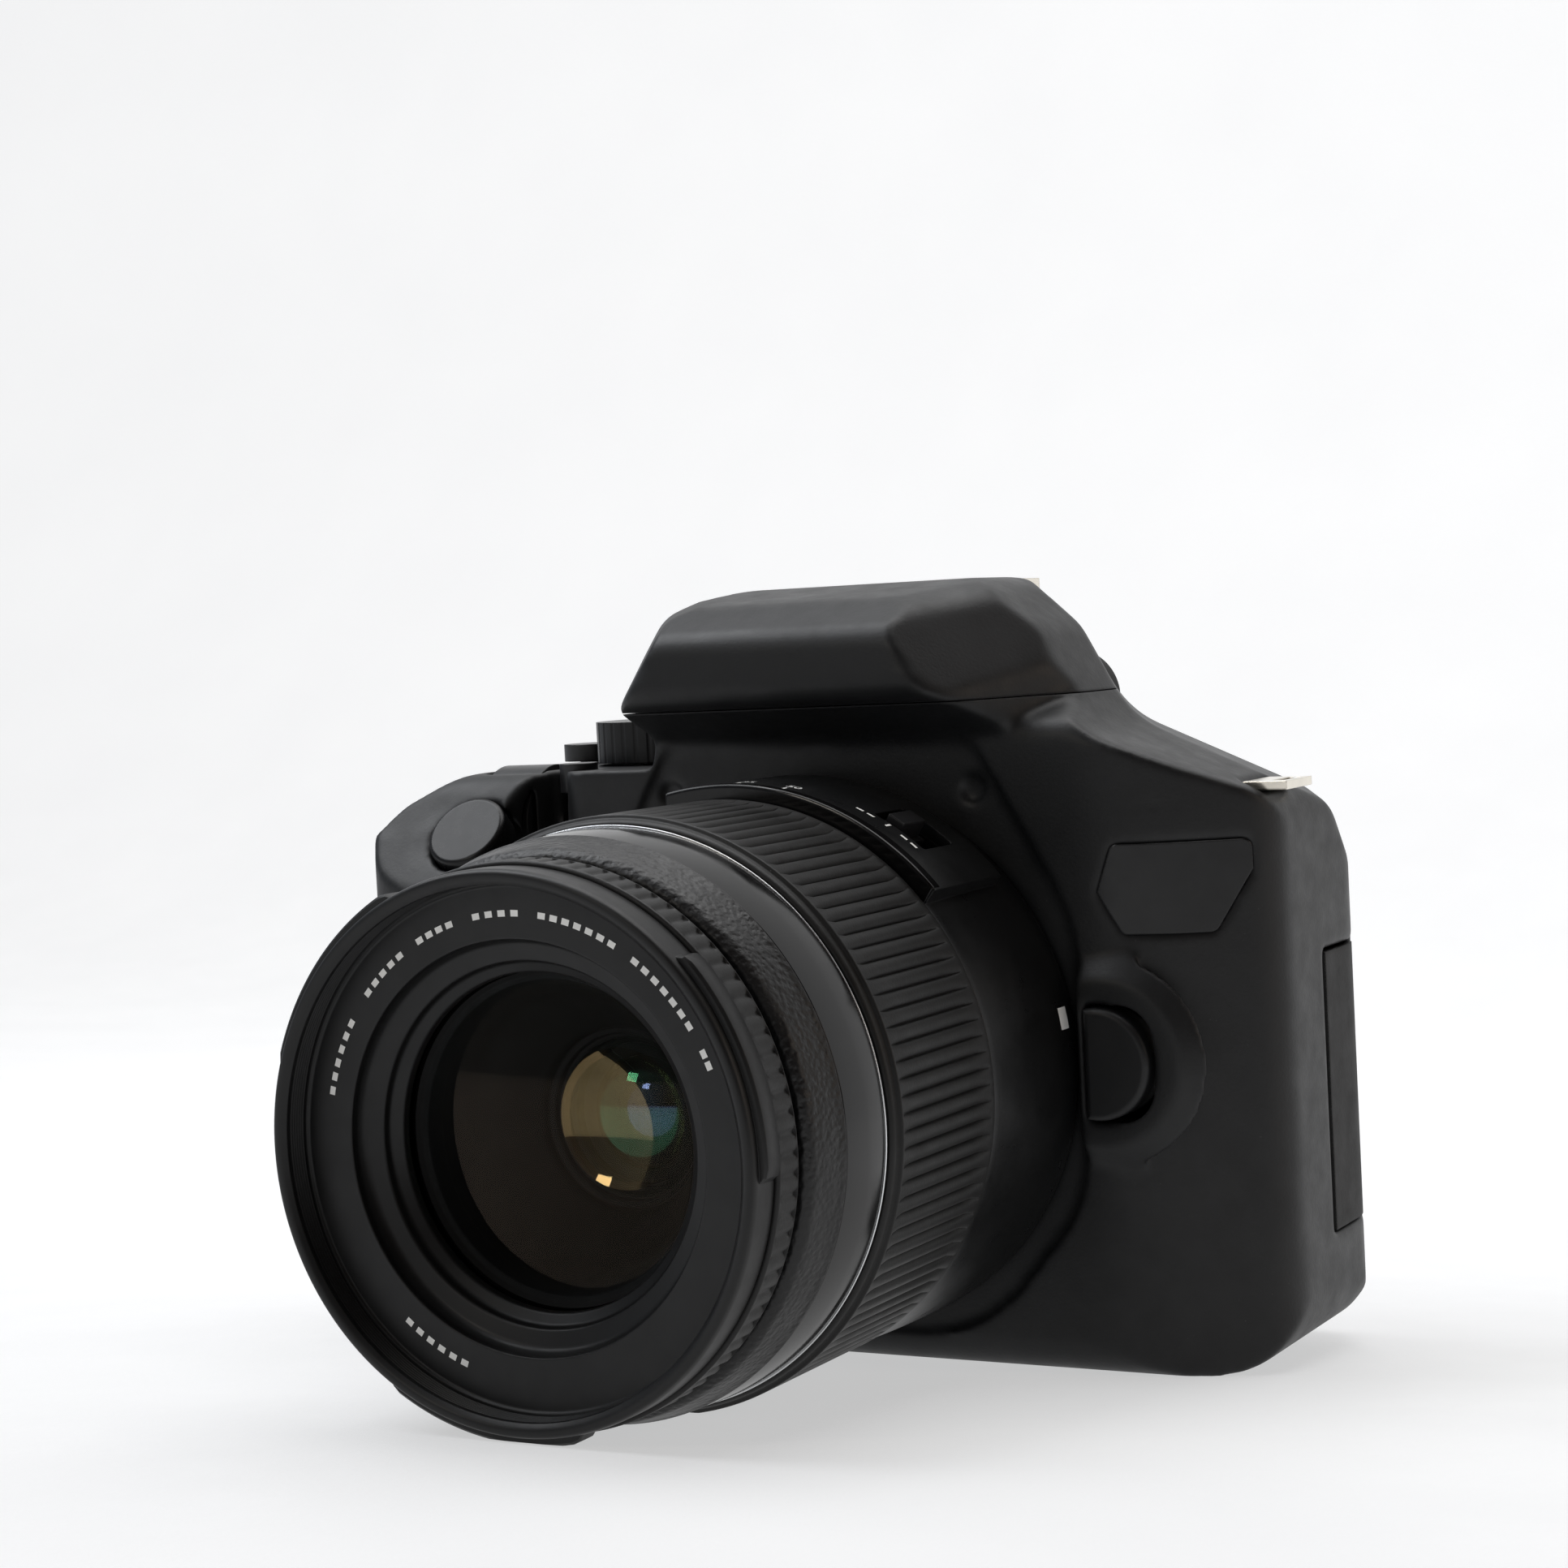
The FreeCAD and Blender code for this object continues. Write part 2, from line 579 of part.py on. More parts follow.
def make_mount():
    panel = cut(extrude("XZ", shrink(PANEL, 0.15), d.front_y + 0.8, d.box_front_y + 1),
                rod("y", 0, 0, d.axis_z, d.mount_rad + 0.05, 12))
    holes = [rod("y", x, 0, 73, 1.9, d.front_y + 1.6) for x in (-21.75, 21.75)]
    node("mount_panel", cut(panel, *holes))
    screws = [rod("y", x, d.front_y + 1.0, 73, 1.8, 0.6) for x in (-21.75, 21.75)]
    recess = [rod("y", x, 0, 73, 0.7, d.front_y + 1.3) for x in (-21.75, 21.75)]
    node("body_screws", cut(fuse(*screws), *recess))
    ring = turned([(d.throat_rad, 0), (d.mount_rad, 0), (d.mount_rad, d.box_front_y + 1),
                   (d.throat_rad, d.box_front_y + 1)])
    node("lens_mount_ring", cut(lifted(ring), rod("y", 30, -2, d.axis_z, 1.3, 12)))
    node("lens_lock_pin", rod("y", 30, -1.4, d.axis_z, 1.2, 6.4))
    knob = cut(rod("y", RELEASE_X, d.front_y - 3.2, d.axis_z, 6.9, 6.4), box(20, RELEASE_FLAT, -5, 12, 30, 50))
    node("lens_release_button", round_edges(knob, 0.8, lambda e: e.BoundBox.YMax < num(d.front_y) - 3.1))


def lifted(body):
    """Raises a piece turned about the origin to the optical axis."""
    return placed(body, 0, 0, d.axis_z)


# ---------------------------------------------------------------- flash head
def make_flash():
    room = box(-40, 40, -12, d.flash_end_y, d.flash_seam_z, 101)
    head = cut(common(OUTSIDE, room), HEAD_INSIDE)
    barrel = rod("x", -17.5, d.flash_end_y, d.flash_pivot_z, d.knuckle_rad, 35)
    web = box(-17.5, 17.5, d.flash_end_y - 2.5, d.flash_end_y, d.flash_pivot_z - 1, d.flash_pivot_z + 1)
    notch = box(-6, 6, d.flash_end_y - 2.8, d.flash_end_y + 3, d.flash_pivot_z - 3, 101)
    pin = rod("x", -8, d.flash_end_y, d.flash_pivot_z, d.hinge_pin_rad, 16)
    holder = box(-16.5, 16.5, -4.0, 9.5, d.flash_seam_z + 0.6, d.flash_seam_z + 2.2)
    window = box(-14, 14, -3, 8, d.flash_seam_z, d.flash_seam_z + 3)
    node("flash_head", fuse(cut(fuse(head, barrel, web, holder), notch, window), pin))
    node("flash_window", box(-13.9, 13.9, -2.9, 7.9, d.flash_seam_z + 0.2, d.flash_seam_z + 2.0))


# ---------------------------------------------------------------- inside the body
def make_optics():
    low, top = d.box_low_z, d.box_top_z
    half = d.box_half
    outer = fuse(box(-half, half, d.box_front_y + 1, d.box_back_y, low, top),
                 box(-30, 30, d.box_front_y + 1, d.box_front_y + 3, 8, 70))
    inner = box(2.5 - half, half - 2.5, d.box_front_y + 3, d.box_back_y + 1, low + 2, top + 1)
    gate = box(-14, 14, d.box_back_y - 3, d.box_back_y + 1, 30, 49)
    node("mirror_box", cut(outer, inner, gate, rod("y", 0, 0, d.axis_z, d.throat_rad - 0.5, 14),
                           box(-19, 19, 0, 14, 60, 71)))
    prism = slab("YZ", [(13.2, 62), (35, 62), (44, 76), (44, 87), (36, 91.2), (20, 91.2), (13.2, 80)], -14.5, 14.5)
    node("pentamirror", prism)
    frame = box(-20, 20, d.box_back_y + 0.2, d.box_back_y + 3.7, 9.5, 52)
    slot = box(-14.5, 14.5, d.box_back_y + 1.4, d.box_back_y + 2.6, 10.5, 49.5)
    light = box(-d.gate_wide / 2, d.gate_wide / 2, 30, 50, d.axis_z - d.gate_tall / 2, d.axis_z + d.gate_tall / 2)
    node("shutter_frame", cut(frame, slot, light))
    node("shutter_blades", box(-14.1, 14.1, d.box_back_y + 1.7, d.box_back_y + 2.3,
                               d.axis_z - d.gate_tall / 2 - 0.8, d.axis_z + d.gate_tall / 2 + 1.2))
    node("image_sensor", fuse(box(-17, 17, 44, 47, 27, 51.6), box(-12.2, 12.2, 43.2, 44, 31.2, 47.4)))


def make_mirrors():
    """The viewing mirror leans at 45 degrees from its pivot; the second mirror hangs behind it."""
    diagonal = math.sqrt(0.5)
    plate = box(-d.mirror_wide / 2, d.mirror_wide / 2, -d.mirror_long, 1.2, -1.6, 0)
    axle = rod("x", -d.mirror_wide / 2, 0, 0, 1.2, d.mirror_wide)
    back = box(-8, 8, -26.5, -13, -2.2, -1)
    main = cut(fuse(plate, axle), back)
    turn(main, (1, 0, 0), 45)
    node("main_mirror", placed(main, 0, d.mirror_pivot_y, d.mirror_pivot_z))
    flap = box(-7, 7, -0.6, 0.6, -12.0, 0)
    rounded = rod("x", -7, 0, 0, 0.6, 14)
    second = fuse(flap, rounded)
    turn(second, (1, 0, 0), 45)
    reach, drop = 14.0, -2.2
    node("sub_mirror", placed(second, 0, d.mirror_pivot_y - diagonal * (reach + drop),
                              d.mirror_pivot_z - diagonal * (reach - drop)))


def make_electronics():
    node("main_board", cut(box(-38, 46, 47.6, 48.9, 8, 64), box(-45, -30, 40, 60, 50, 70)))
    width, depth, tall = d.battery_thick, d.battery_deep, d.battery_long
    low_x, front = -64.0, 4.4
    node("battery", box(low_x, width + low_x, front, depth + front, 3, tall + 3))
    chamber = fuse(box(low_x - 1.2, -49.6, front - 1.4, depth + front + 1.4, 2.4, tall + 5),
                   box(-51, -45.6, 10.8, 37.4, 2.4, 40))
    hollow = box(low_x - 0.2, width + (low_x + 0.2), front - 0.2, depth + (front + 0.2), 0, tall + 3.2)
    node("battery_chamber", cut(chamber, hollow, box(-49.4, -46.8, 11.8, 36.2, 0, 36.2)))
    node("memory_card", box(-49.2, -47.0, 12, 36, 3.5, 35.6))
    low_y, high_y, low_z, high_z = DOOR_TO_SIDE
    ports = [box(53.0, 60, y, y + 4.4, z, z + 9) for y in (31.6, 37.0) for z in (20, 36)]
    node("terminal_block", cut(box(48, 55.2, low_y + 1, high_y - 1, low_z + 1, high_z - 1), *ports))


# ---------------------------------------------------------------- top controls
def make_top_controls():
    deck = d.deck_z
    dial = fuse(rod("z", 0, 0, 0, d.mode_rad, d.mode_tall), rod("z", 0, 0, -5, 3.0, 6))
    grips = [rod("z", math.cos(a) * 10.0, math.sin(a) * 10.0, -1, 0.8, 8)
             for a in (math.radians(12 * i) for i in range(30))]
    node("mode_dial", placed(cut(dial, *grips), d.mode_x, d.mode_y, deck + 0.4))
    wheel = rod("x", -d.wheel_wide / 2, 0, 0, d.wheel_rad, d.wheel_wide)
    teeth = [rod("x", -8, math.cos(a) * 9.6, math.sin(a) * 9.6, 0.6, 16)
             for a in (math.radians(10 * i) for i in range(36))]
    node("main_dial", placed(cut(wheel, *teeth), d.wheel_x, d.wheel_y, d.wheel_z))
    node("shutter_button", round_edges(leaned(*SHUTTER_AT, d.shutter_rad, -2.4, 1.3), 0.7, top_rim))
    node("flash_button", rod("z", *FLASH_BUTTON_AT, deck - 3.0, 2.6, 3.9))
    lever = fuse(rod("z", 0, 0, 0, 4.2, 2.4), box(0, 6.8, -1.6, 1.6, 0, 2.4), rod("z", 0, 0, -4, 2.0, 5))
    node("power_switch", placed(lever, *SWITCH_AT, deck + 0.3))
    front, end, low, top = d.shoe_y, d.shoe_end_y, d.shoe_z, d.shoe_z + 3.1
    plate = box(-10.5, 10.5, front, end, low, low + 0.5)
    rails = [box(s * 9.95 - 0.55, s * 9.95 + 0.55, front, end, low, top) for s in (-1, 1)]
    lips = [box(s * 8.4 - 2.1, s * 8.4 + 2.1, front, end, top - 0.5, top) for s in (-1, 1)]
    stop = box(-10.5, 10.5, front, front + 1.0, low, top)
    node("hot_shoe", fuse(plate, *rails, *lips, stop))


def top_rim(edge):
    return edge.CenterOfMass.z > SHUTTER_AT[2] + 0.2 and len(edge.Vertexes) == 1


# ---------------------------------------------------------------- rear side
def make_rear():
    half_w, half_t = d.lcd_wide / 2, d.lcd_tall / 2
    node("lcd_window", box(d.lcd_x - half_w, d.lcd_x + half_w, 51.2, d.back_y + 1.6,
                           d.lcd_z - half_t, d.lcd_z + half_t))
    for name, (x, z, radius) in REAR_BUTTONS.items():
        node(name, rod("y", x, 50.8, z, radius, 4.2))
    keys = cut(rod("y", d.keys_x, 50.8, d.keys_z, d.keys_rad, 4.2), rod("y", d.keys_x, 50, d.keys_z, d.set_rad + 0.3, 8))
    node("cross_keys", keys)
    node("set_button", rod("y", d.keys_x, 50.8, d.keys_z, d.set_rad, 3.9))
    half_w, half_t = d.cup_wide / 2, d.cup_tall / 2
    cup = slab("XZ", [(half_w, d.cup_z - half_t, 7), (half_w, d.cup_z + half_t, 7),
                      (-half_w, d.cup_z + half_t, 7), (-half_w, d.cup_z - half_t, 7)], 50.2, d.cup_end_y)
    waist = cut(box(-30, 30, 50.1, d.cup_end_y - 9, 60, 105), box(-13.6, 13.6, 50, 70, 68.5, 87.5))
    hole = slab("XZ", [(9.5, d.cup_z - 6.5, 3), (9.5, d.cup_z + 6.5, 3), (-9.5, d.cup_z + 6.5, 3),
                       (-9.5, d.cup_z - 6.5, 3)], 40, 80)
    node("eyecup", cut(cup, waist, hole))
    node("eyepiece_lens", rod("y", 0, 46, d.cup_z, 6.2, 3.4))
    x, y, z = DIOPTER_AT
    node("diopter_knob", rod("y", x, y + 5, z, 2.2, 4.6))


def make_lugs():
    loops = []
    for face, way in LUG_FACES:
        middle = face - 1.8 * way
        plate = box(middle - 2.8, middle + 2.8, 15.4, 24.6, 71.3, 72.4)
        slot = middle + 1.2 * way
        loops.append(cut(plate, box(slot - 0.8, slot + 0.8, 17, 23, 70, 75)))
    node("strap_lugs", fuse(*loops))


# ---------------------------------------------------------------- lens
def swung(thing):
    """Stands a piece drawn over the origin on the lens barrel, round to its focus switch's place."""
    holder = doc.addObject("Part::Compound", "swung")
    holder.Links = [thing]
    turn(holder, (0, 1, 0), SWITCH_TURN)
    return placed(holder, 0, 0, d.axis_z)


def make_lens():
    back, front = d.zoom_back_y, d.zoom_front_y
    lens = turned([
        (d.inner_rad + 0.9, front + 0.3), (d.inner_rad + 0.9, -6), (26.0, -6), (26.0, 4.5), (24.0, 4.5),
        (24.0, -8), (d.inner_rad - 2.5, -8), (d.inner_rad - 2.5, front + 8), (d.inner_rad + 0.1, front + 8),
        (d.inner_rad + 0.1, front + 0.3)])
    skirt = turned([
        (d.inner_rad + 0.9, back), (d.zoom_rad - 0.2, back), (d.barrel_rad, -8), (d.barrel_rad, d.front_y + 0.4),
        (d.mount_rad + 0.3, d.front_y + 0.4), (d.mount_rad + 0.3, -0.3), (26.0, -0.3), (26.0, -4),
        (d.inner_rad + 0.9, -4)])
    block = swung(box(-7, 7, back + 1.5, -2, 31.6, 36.3))
    switch_slot = swung(box(-3.3, 4.3, -14.2, -6.4, 32, 40))
    barrel = cut(fuse(lifted(lens), cut(fuse(lifted(skirt), block), rod("y", 0, -30, d.axis_z, d.inner_rad + 2, 25))),
                 switch_slot, rod("y", 30, -2.5, d.axis_z, 1.5, 4))
    node("lens_barrel", barrel)
    switch = fuse(box(-2.9, 1.1, -13.8, -6.8, 32.3, 34.6), box(-2.1, 0.3, -13.2, -7.4, 34.6, 36.9))
    node("af_mf_switch", swung(switch))
    collar = turned([
        (d.inner_rad + 0.1, front), (d.collar_rad + 0.3, front), (d.collar_rad, front - 6.5),
        (d.collar_front_rad, d.collar_y), (d.inner_rad + 0.1, d.collar_y)])
    node("barrel_collar", lifted(collar))
    ring = turned([
        (d.inner_rad + 1.2, front + 0.3), (d.zoom_rad - 0.8, front + 0.3), (d.zoom_rad - 0.7, front + 2.4),
        (d.zoom_rad, front + 2.6), (d.zoom_rad, back - 0.3), (d.inner_rad + 1.2, back - 0.3)])
    node("zoom_ring", lifted(grooved(ring, 0.75, d.zoom_rad - 0.7, d.zoom_rad + 1, front + 3.6, back - 1.6, 60)))
    node("inner_barrel", lifted(turned([
        (24.5, d.glass_y + 6), (24.5, -39.2), (d.inner_rad - 0.1, -39.2), (d.inner_rad - 0.1, d.collar_y - 0.6),
        (28.0, d.collar_y - 0.6), (28.0, d.glass_y + 4), (25.5, d.glass_y + 4), (25.5, d.glass_y + 6)])))


def make_front_group():
    start, lip = d.collar_y - 1.0, d.rim_y + 4.6
    ring = turned([
        (28.4, start), (d.focus_rad, start), (d.focus_rad, lip), (d.filter_rad + 0.6, lip),
        (d.filter_rad + 0.6, lip + 0.4), (28.4, lip + 0.4)])
    node("focus_ring", lifted(grooved(ring, 0.35, d.focus_rad - 0.5, d.focus_rad + 1, lip + 0.5, start - 0.3, 90)))
    rim = turned([
        (d.glass_rad, d.glass_y), (20.2, d.glass_y - 2.4), (d.name_rad, d.glass_y - 3.0), (d.name_rad, d.name_y),
        (d.filter_rad, d.name_y), (d.filter_rad, d.rim_y + 0.4), (d.filter_rad + 0.5, d.rim_y),
        (d.rim_rad - 0.4, d.rim_y), (d.rim_rad, d.rim_y + 0.5), (d.rim_rad, lip - 0.05),
        (27.9, lip - 0.05), (27.9, start + 1.4), (27.0, start + 1.4), (27.0, d.name_y + 2.2),
        (d.glass_rad, d.glass_y + 2.5)])
    lug_ring = turned([
        (d.rim_rad - 0.3, d.rim_y + 1.2), (d.rim_rad + 1.0, d.rim_y + 1.2), (d.rim_rad + 1.0, lip - 0.1),
        (d.rim_rad - 0.3, lip - 0.1)])
    lugs = common(lifted(lug_ring), fuse(*[lug_wedge(angle) for angle in (50, 170, 290)]))
    node("front_ring", fuse(lifted(rim), lugs))
    glass = cut(rod("y", 0, d.glass_y - 1.6, d.axis_z, d.glass_rad - 0.05, 3.8), rod("y", 0, -61.6, d.axis_z, 18.0, 4))
    ball = doc.addObject("Part::Sphere", "crown")
    ball.Radius = 42
    place(ball, 0, d.glass_y + 40.4, d.axis_z)
    node("front_element", common(glass, ball))
    rear = turned([(0, 3.2), (11.5, 2.2), (11.5, -5), (23.9, -5), (23.9, -7.6), (10, -7.6), (0, -5.6)])
    node("rear_elements", lifted(rear))


def lug_wedge(angle):
    """A 50 degree sector round the optical axis, centred on the given angle."""
    wedge = doc.addObject("Part::Cylinder", "wedge")
    wedge.Radius, wedge.Height, wedge.Angle = 40, 12, 50
    rotation = FreeCAD.Rotation(V(1, 0, 0), 90).multiply(FreeCAD.Rotation(V(0, 0, 1), angle - 25))
    wedge.Placement = FreeCAD.Placement(V(), rotation)
    place(wedge, 0, d.rim_y + 10, d.axis_z)
    return wedge


# ---------------------------------------------------------------- build, check and export
def build():
    make_top_cover()
    make_front_cover()
    make_rear_cover()
    make_skins()
    make_base()
    make_mount()
    make_flash()
    make_optics()
    make_mirrors()
    make_electronics()
    make_top_controls()
    make_rear()
    make_lugs()
    make_lens()
    make_front_group()
    doc.recompute()


def check():
    failed = [thing.Label for thing in doc.Objects if {"Invalid", "Error"} & set(thing.State)]
    if failed:
        raise RuntimeError("failed objects: " + ", ".join(failed))
    for thing in nodes:
        shape = thing.Shape
        if shape.isNull() or not shape.isValid() or shape.Volume < 1:
            raise RuntimeError("%s has no valid solid" % thing.Label)


def export():
    os.makedirs("parts", exist_ok=True)
    for thing in nodes:
        thing.Shape.exportStep("parts/%s.step" % thing.Label)
        print("%-22s %10.1f mm3, %d solids" % (thing.Label, thing.Shape.Volume, len(thing.Shape.Solids)))


build()
check()
export()
print(len(nodes), "nodes")
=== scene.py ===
import json
import math

import bmesh
import bpy
from mathutils import Matrix, Vector

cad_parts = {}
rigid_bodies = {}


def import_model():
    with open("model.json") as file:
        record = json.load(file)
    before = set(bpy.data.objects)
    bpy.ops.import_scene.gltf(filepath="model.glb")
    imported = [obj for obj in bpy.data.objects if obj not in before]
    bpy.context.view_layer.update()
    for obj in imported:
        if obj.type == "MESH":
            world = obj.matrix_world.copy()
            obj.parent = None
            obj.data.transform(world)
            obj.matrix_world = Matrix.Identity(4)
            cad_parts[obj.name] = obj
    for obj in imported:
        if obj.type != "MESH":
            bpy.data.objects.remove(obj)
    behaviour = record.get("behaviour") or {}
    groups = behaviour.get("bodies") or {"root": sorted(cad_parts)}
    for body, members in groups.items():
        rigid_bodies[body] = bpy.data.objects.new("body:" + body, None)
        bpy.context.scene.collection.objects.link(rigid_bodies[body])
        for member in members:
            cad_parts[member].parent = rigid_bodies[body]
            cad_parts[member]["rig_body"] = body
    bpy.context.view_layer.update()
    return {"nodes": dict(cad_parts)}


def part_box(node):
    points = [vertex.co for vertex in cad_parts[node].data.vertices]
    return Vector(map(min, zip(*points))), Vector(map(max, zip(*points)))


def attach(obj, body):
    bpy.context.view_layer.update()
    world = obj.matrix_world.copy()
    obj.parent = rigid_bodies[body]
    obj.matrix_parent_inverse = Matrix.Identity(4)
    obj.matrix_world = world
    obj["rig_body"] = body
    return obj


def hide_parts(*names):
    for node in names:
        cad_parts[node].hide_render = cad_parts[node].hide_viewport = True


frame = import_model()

# Lengths below are in millimetres from the lens-mount flange, as in the CAD source; MM and BACK turn
# them into the row frame's metres.
MM = 0.001
BACK = -30.0
AXIS = 39.3
NODES = frame["nodes"]
HARD_EDGE = math.radians(32)
MOULD_EDGE = math.radians(50)
SLOT_EDGE = math.radians(40)


def at(x, y, z):
    """A point drawn from the flange plane, as a row-frame position in metres."""
    return Vector((x, y + BACK, z)) * MM


# ---------------------------------------------------------------- materials
class Nodes:
    """A short way to build one material's node tree."""

    def __init__(self, name):
        self.material = bpy.data.materials.new(name)
        self.material.use_nodes = True
        self.tree = self.material.node_tree
        self.shader = self.tree.nodes["Principled BSDF"]
        self.out = self.tree.nodes["Material Output"]
        self.where = self.add("ShaderNodeTexCoord").outputs["Object"]

    def add(self, kind, **settings):
        made = self.tree.nodes.new(kind)
        for key, value in settings.items():
            setattr(made, key, value)
        return made

    def link(self, start, end):
        self.tree.links.new(start, end)

    def noise(self, scale, detail=3.0, rough=0.55, stretch=None):
        texture = self.add("ShaderNodeTexNoise")
        texture.inputs["Scale"].default_value = scale
        texture.inputs["Detail"].default_value = detail
        texture.inputs["Roughness"].default_value = rough
        if stretch:
            mapping = self.add("ShaderNodeMapping")
            mapping.inputs["Scale"].default_value = stretch
            self.link(self.where, mapping.inputs["Vector"])
            self.link(mapping.outputs["Vector"], texture.inputs["Vector"])
        else:
            self.link(self.where, texture.inputs["Vector"])
        return texture.outputs["Fac"]

    def cells(self, scale, feature="F1"):
        texture = self.add("ShaderNodeTexVoronoi", feature=feature)
        texture.inputs["Scale"].default_value = scale
        self.link(self.where, texture.inputs["Vector"])
        return texture.outputs["Distance"]

    def spread(self, source, low, high, start=0.3, end=0.7):
        ramp = self.add("ShaderNodeMapRange")
        for key, value in (("From Min", start), ("From Max", end), ("To Min", low), ("To Max", high)):
            ramp.inputs[key].default_value = value
        self.link(source, ramp.inputs["Value"])
        return ramp.outputs["Result"]

    def tint(self, factor, first, second):
        mix = self.add("ShaderNodeMix", data_type="RGBA")
        mix.inputs[6].default_value = (*first, 1)
        mix.inputs[7].default_value = (*second, 1)
        self.link(factor, mix.inputs[0])
        return mix.outputs[2]

    def relief(self, source, depth, strength, under=None):
        bump = self.add("ShaderNodeBump")
        bump.inputs["Distance"].default_value = depth * MM
        bump.inputs["Strength"].default_value = strength
        self.link(source, bump.inputs["Height"])
        if under:
            self.link(under, bump.inputs["Normal"])
        return bump.outputs["Normal"]

    def soft_edge(self, radius):
        bevel = self.add("ShaderNodeBevel", samples=4)
        bevel.inputs["Radius"].default_value = radius * MM
        return bevel.outputs["Normal"]


def paint(name, colour, rough, grain=(2600, 0.03, 0.5), edge=0.25, vary=0.06, metal=0.0, coat=0.0,
          specular=0.5, dust=0.0, leather=None, brushed=None):
    """A procedural finish: mottled colour, uneven roughness, fine grain and softened edges."""
    n = Nodes(name)
    s = n.shader.inputs
    s["Metallic"].default_value = metal
    s["Coat Weight"].default_value = coat
    s["Coat Roughness"].default_value = 0.12
    s["Specular IOR Level"].default_value = specular
    blotches = n.noise(55, 4.0, 0.6)
    lighter = tuple(min(1.0, c * 1.22 + 0.002) for c in colour)
    tone = n.tint(n.spread(blotches, 0, 1), colour, lighter)
    if dust:
        specks = n.spread(n.cells(900), 1.0, 0.0, 0.02, 0.07)
        patches = n.spread(n.noise(120, 2.0), 0.0, dust, 0.56, 0.66)
        both = n.add("ShaderNodeMath", operation="MULTIPLY")
        n.link(specks, both.inputs[0])
        n.link(patches, both.inputs[1])
        dusted = n.add("ShaderNodeMix", data_type="RGBA")
        n.link(both.outputs[0], dusted.inputs[0])
        n.link(tone, dusted.inputs[6])
        dusted.inputs[7].default_value = (0.32, 0.31, 0.29, 1)
        tone = dusted.outputs[2]
    n.link(tone, s["Base Color"])
    n.link(n.spread(n.noise(210, 5.0, 0.65), rough - vary, rough + vary), s["Roughness"])
    normal = n.soft_edge(edge) if edge else None
    if leather:
        normal = n.relief(n.cells(leather[0], "SMOOTH_F1"), leather[1], 0.8, normal)
    if brushed:
        normal = n.relief(n.noise(900, 3.0, 0.6, brushed), 0.01, 0.5, normal)
    normal = n.relief(n.noise(grain[0], 2.5, 0.5), grain[1], grain[2], normal)
    n.link(normal, s["Normal"])
    return n.material


def coated_glass(name, tint, shine, rim):
    """A coated lens surface: clear in the middle of the view, brighter and tinted where it turns away."""
    n = Nodes(name)
    n.tree.nodes.remove(n.shader)
    clear = n.add("ShaderNodeBsdfTransparent")
    clear.inputs["Color"].default_value = (0.93, 0.95, 0.95, 1)
    gloss = n.add("ShaderNodeBsdfGlossy")
    n.link(n.spread(n.noise(60, 3.0), 0.015, 0.05), gloss.inputs["Roughness"])
    weight = n.add("ShaderNodeLayerWeight")
    weight.inputs["Blend"].default_value = 0.35
    n.link(n.tint(weight.outputs["Facing"], tint, rim), gloss.inputs["Color"])
    smears = n.relief(n.noise(140, 2.0), 0.004, 0.2)
    n.link(smears, gloss.inputs["Normal"])
    mix = n.add("ShaderNodeMixShader")
    n.link(n.spread(weight.outputs["Facing"], shine, min(1.0, shine * 4), 0.1, 0.9), mix.inputs[0])
    n.link(clear.outputs[0], mix.inputs[1])
    n.link(gloss.outputs[0], mix.inputs[2])
    n.link(mix.outputs[0], n.out.inputs["Surface"])
    return n.material


SHELL = paint("shell_plastic", (0.0065, 0.0068, 0.0074), 0.47, grain=(2300, 0.035, 0.6), edge=0.5, dust=0.12,
              specular=0.32)
SHELL_FINE = paint("shell_fine", (0.006, 0.0063, 0.0069), 0.42, grain=(3600, 0.018, 0.5), edge=0.3,
                   specular=0.32)
GRIP = paint("grip_leather", (0.006, 0.006, 0.0063), 0.6, edge=0.3, leather=(820, 0.14),
             grain=(2600, 0.04, 0.6), specular=0.35)
RUBBER = paint("rib_rubber", (0.0042, 0.0041, 0.004), 0.46, grain=(3000, 0.03, 0.6), edge=0.1, dust=0.4,
               specular=0.3)
EYE_RUBBER = paint("eye_rubber", (0.007, 0.007, 0.007), 0.66, grain=(2200, 0.04, 0.6), edge=0.8,
                   specular=0.35)
GLOSS = paint("gloss_black", (0.003, 0.003, 0.0034), 0.2, grain=(1500, 0.004, 0.3), edge=0.3, specular=0.35)
SATIN = paint("barrel_satin", (0.0038, 0.004, 0.0043), 0.32, grain=(3000, 0.016, 0.45), edge=0.2, dust=0.12,
              specular=0.26)
BAND = paint("band_gloss", (0.0025, 0.0024, 0.0025), 0.13, grain=(2400, 0.004, 0.3), edge=0.2, specular=0.3)
PITTED = paint("pitted_black", (0.0045, 0.0045, 0.0048), 0.42, edge=0.2, leather=(1500, 0.16),
               grain=(3200, 0.06, 0.7), specular=0.34)
BUTTON = paint("button_black", (0.004, 0.004, 0.0044), 0.3, grain=(1500, 0.004, 0.3), edge=0.1, specular=0.22)
KEY = paint("key_plastic", (0.008, 0.008, 0.0088), 0.34, grain=(2600, 0.012, 0.4), edge=0.35, specular=0.4)
STEEL = paint("turned_steel", (0.58, 0.57, 0.55), 0.26, grain=(1800, 0.004, 0.4), metal=1.0,
              brushed=(1, 40, 1))
BRIGHT = paint("plated_steel", (0.70, 0.66, 0.58), 0.2, grain=(1600, 0.006, 0.4), metal=1.0, edge=0.3)
# Painted highlight: a bright metal finish for the thin ring that stands for the highlight along the edge of the
# gloss band.
PAINTED_HIGHLIGHT = paint("painted_highlight_line", (0.62, 0.63, 0.64), 0.22, grain=(2500, 0.004, 0.3), metal=1.0, edge=0.1)
DARK = paint("black_metal", (0.012, 0.012, 0.013), 0.34, grain=(2200, 0.01, 0.4), metal=0.4, edge=0.1)
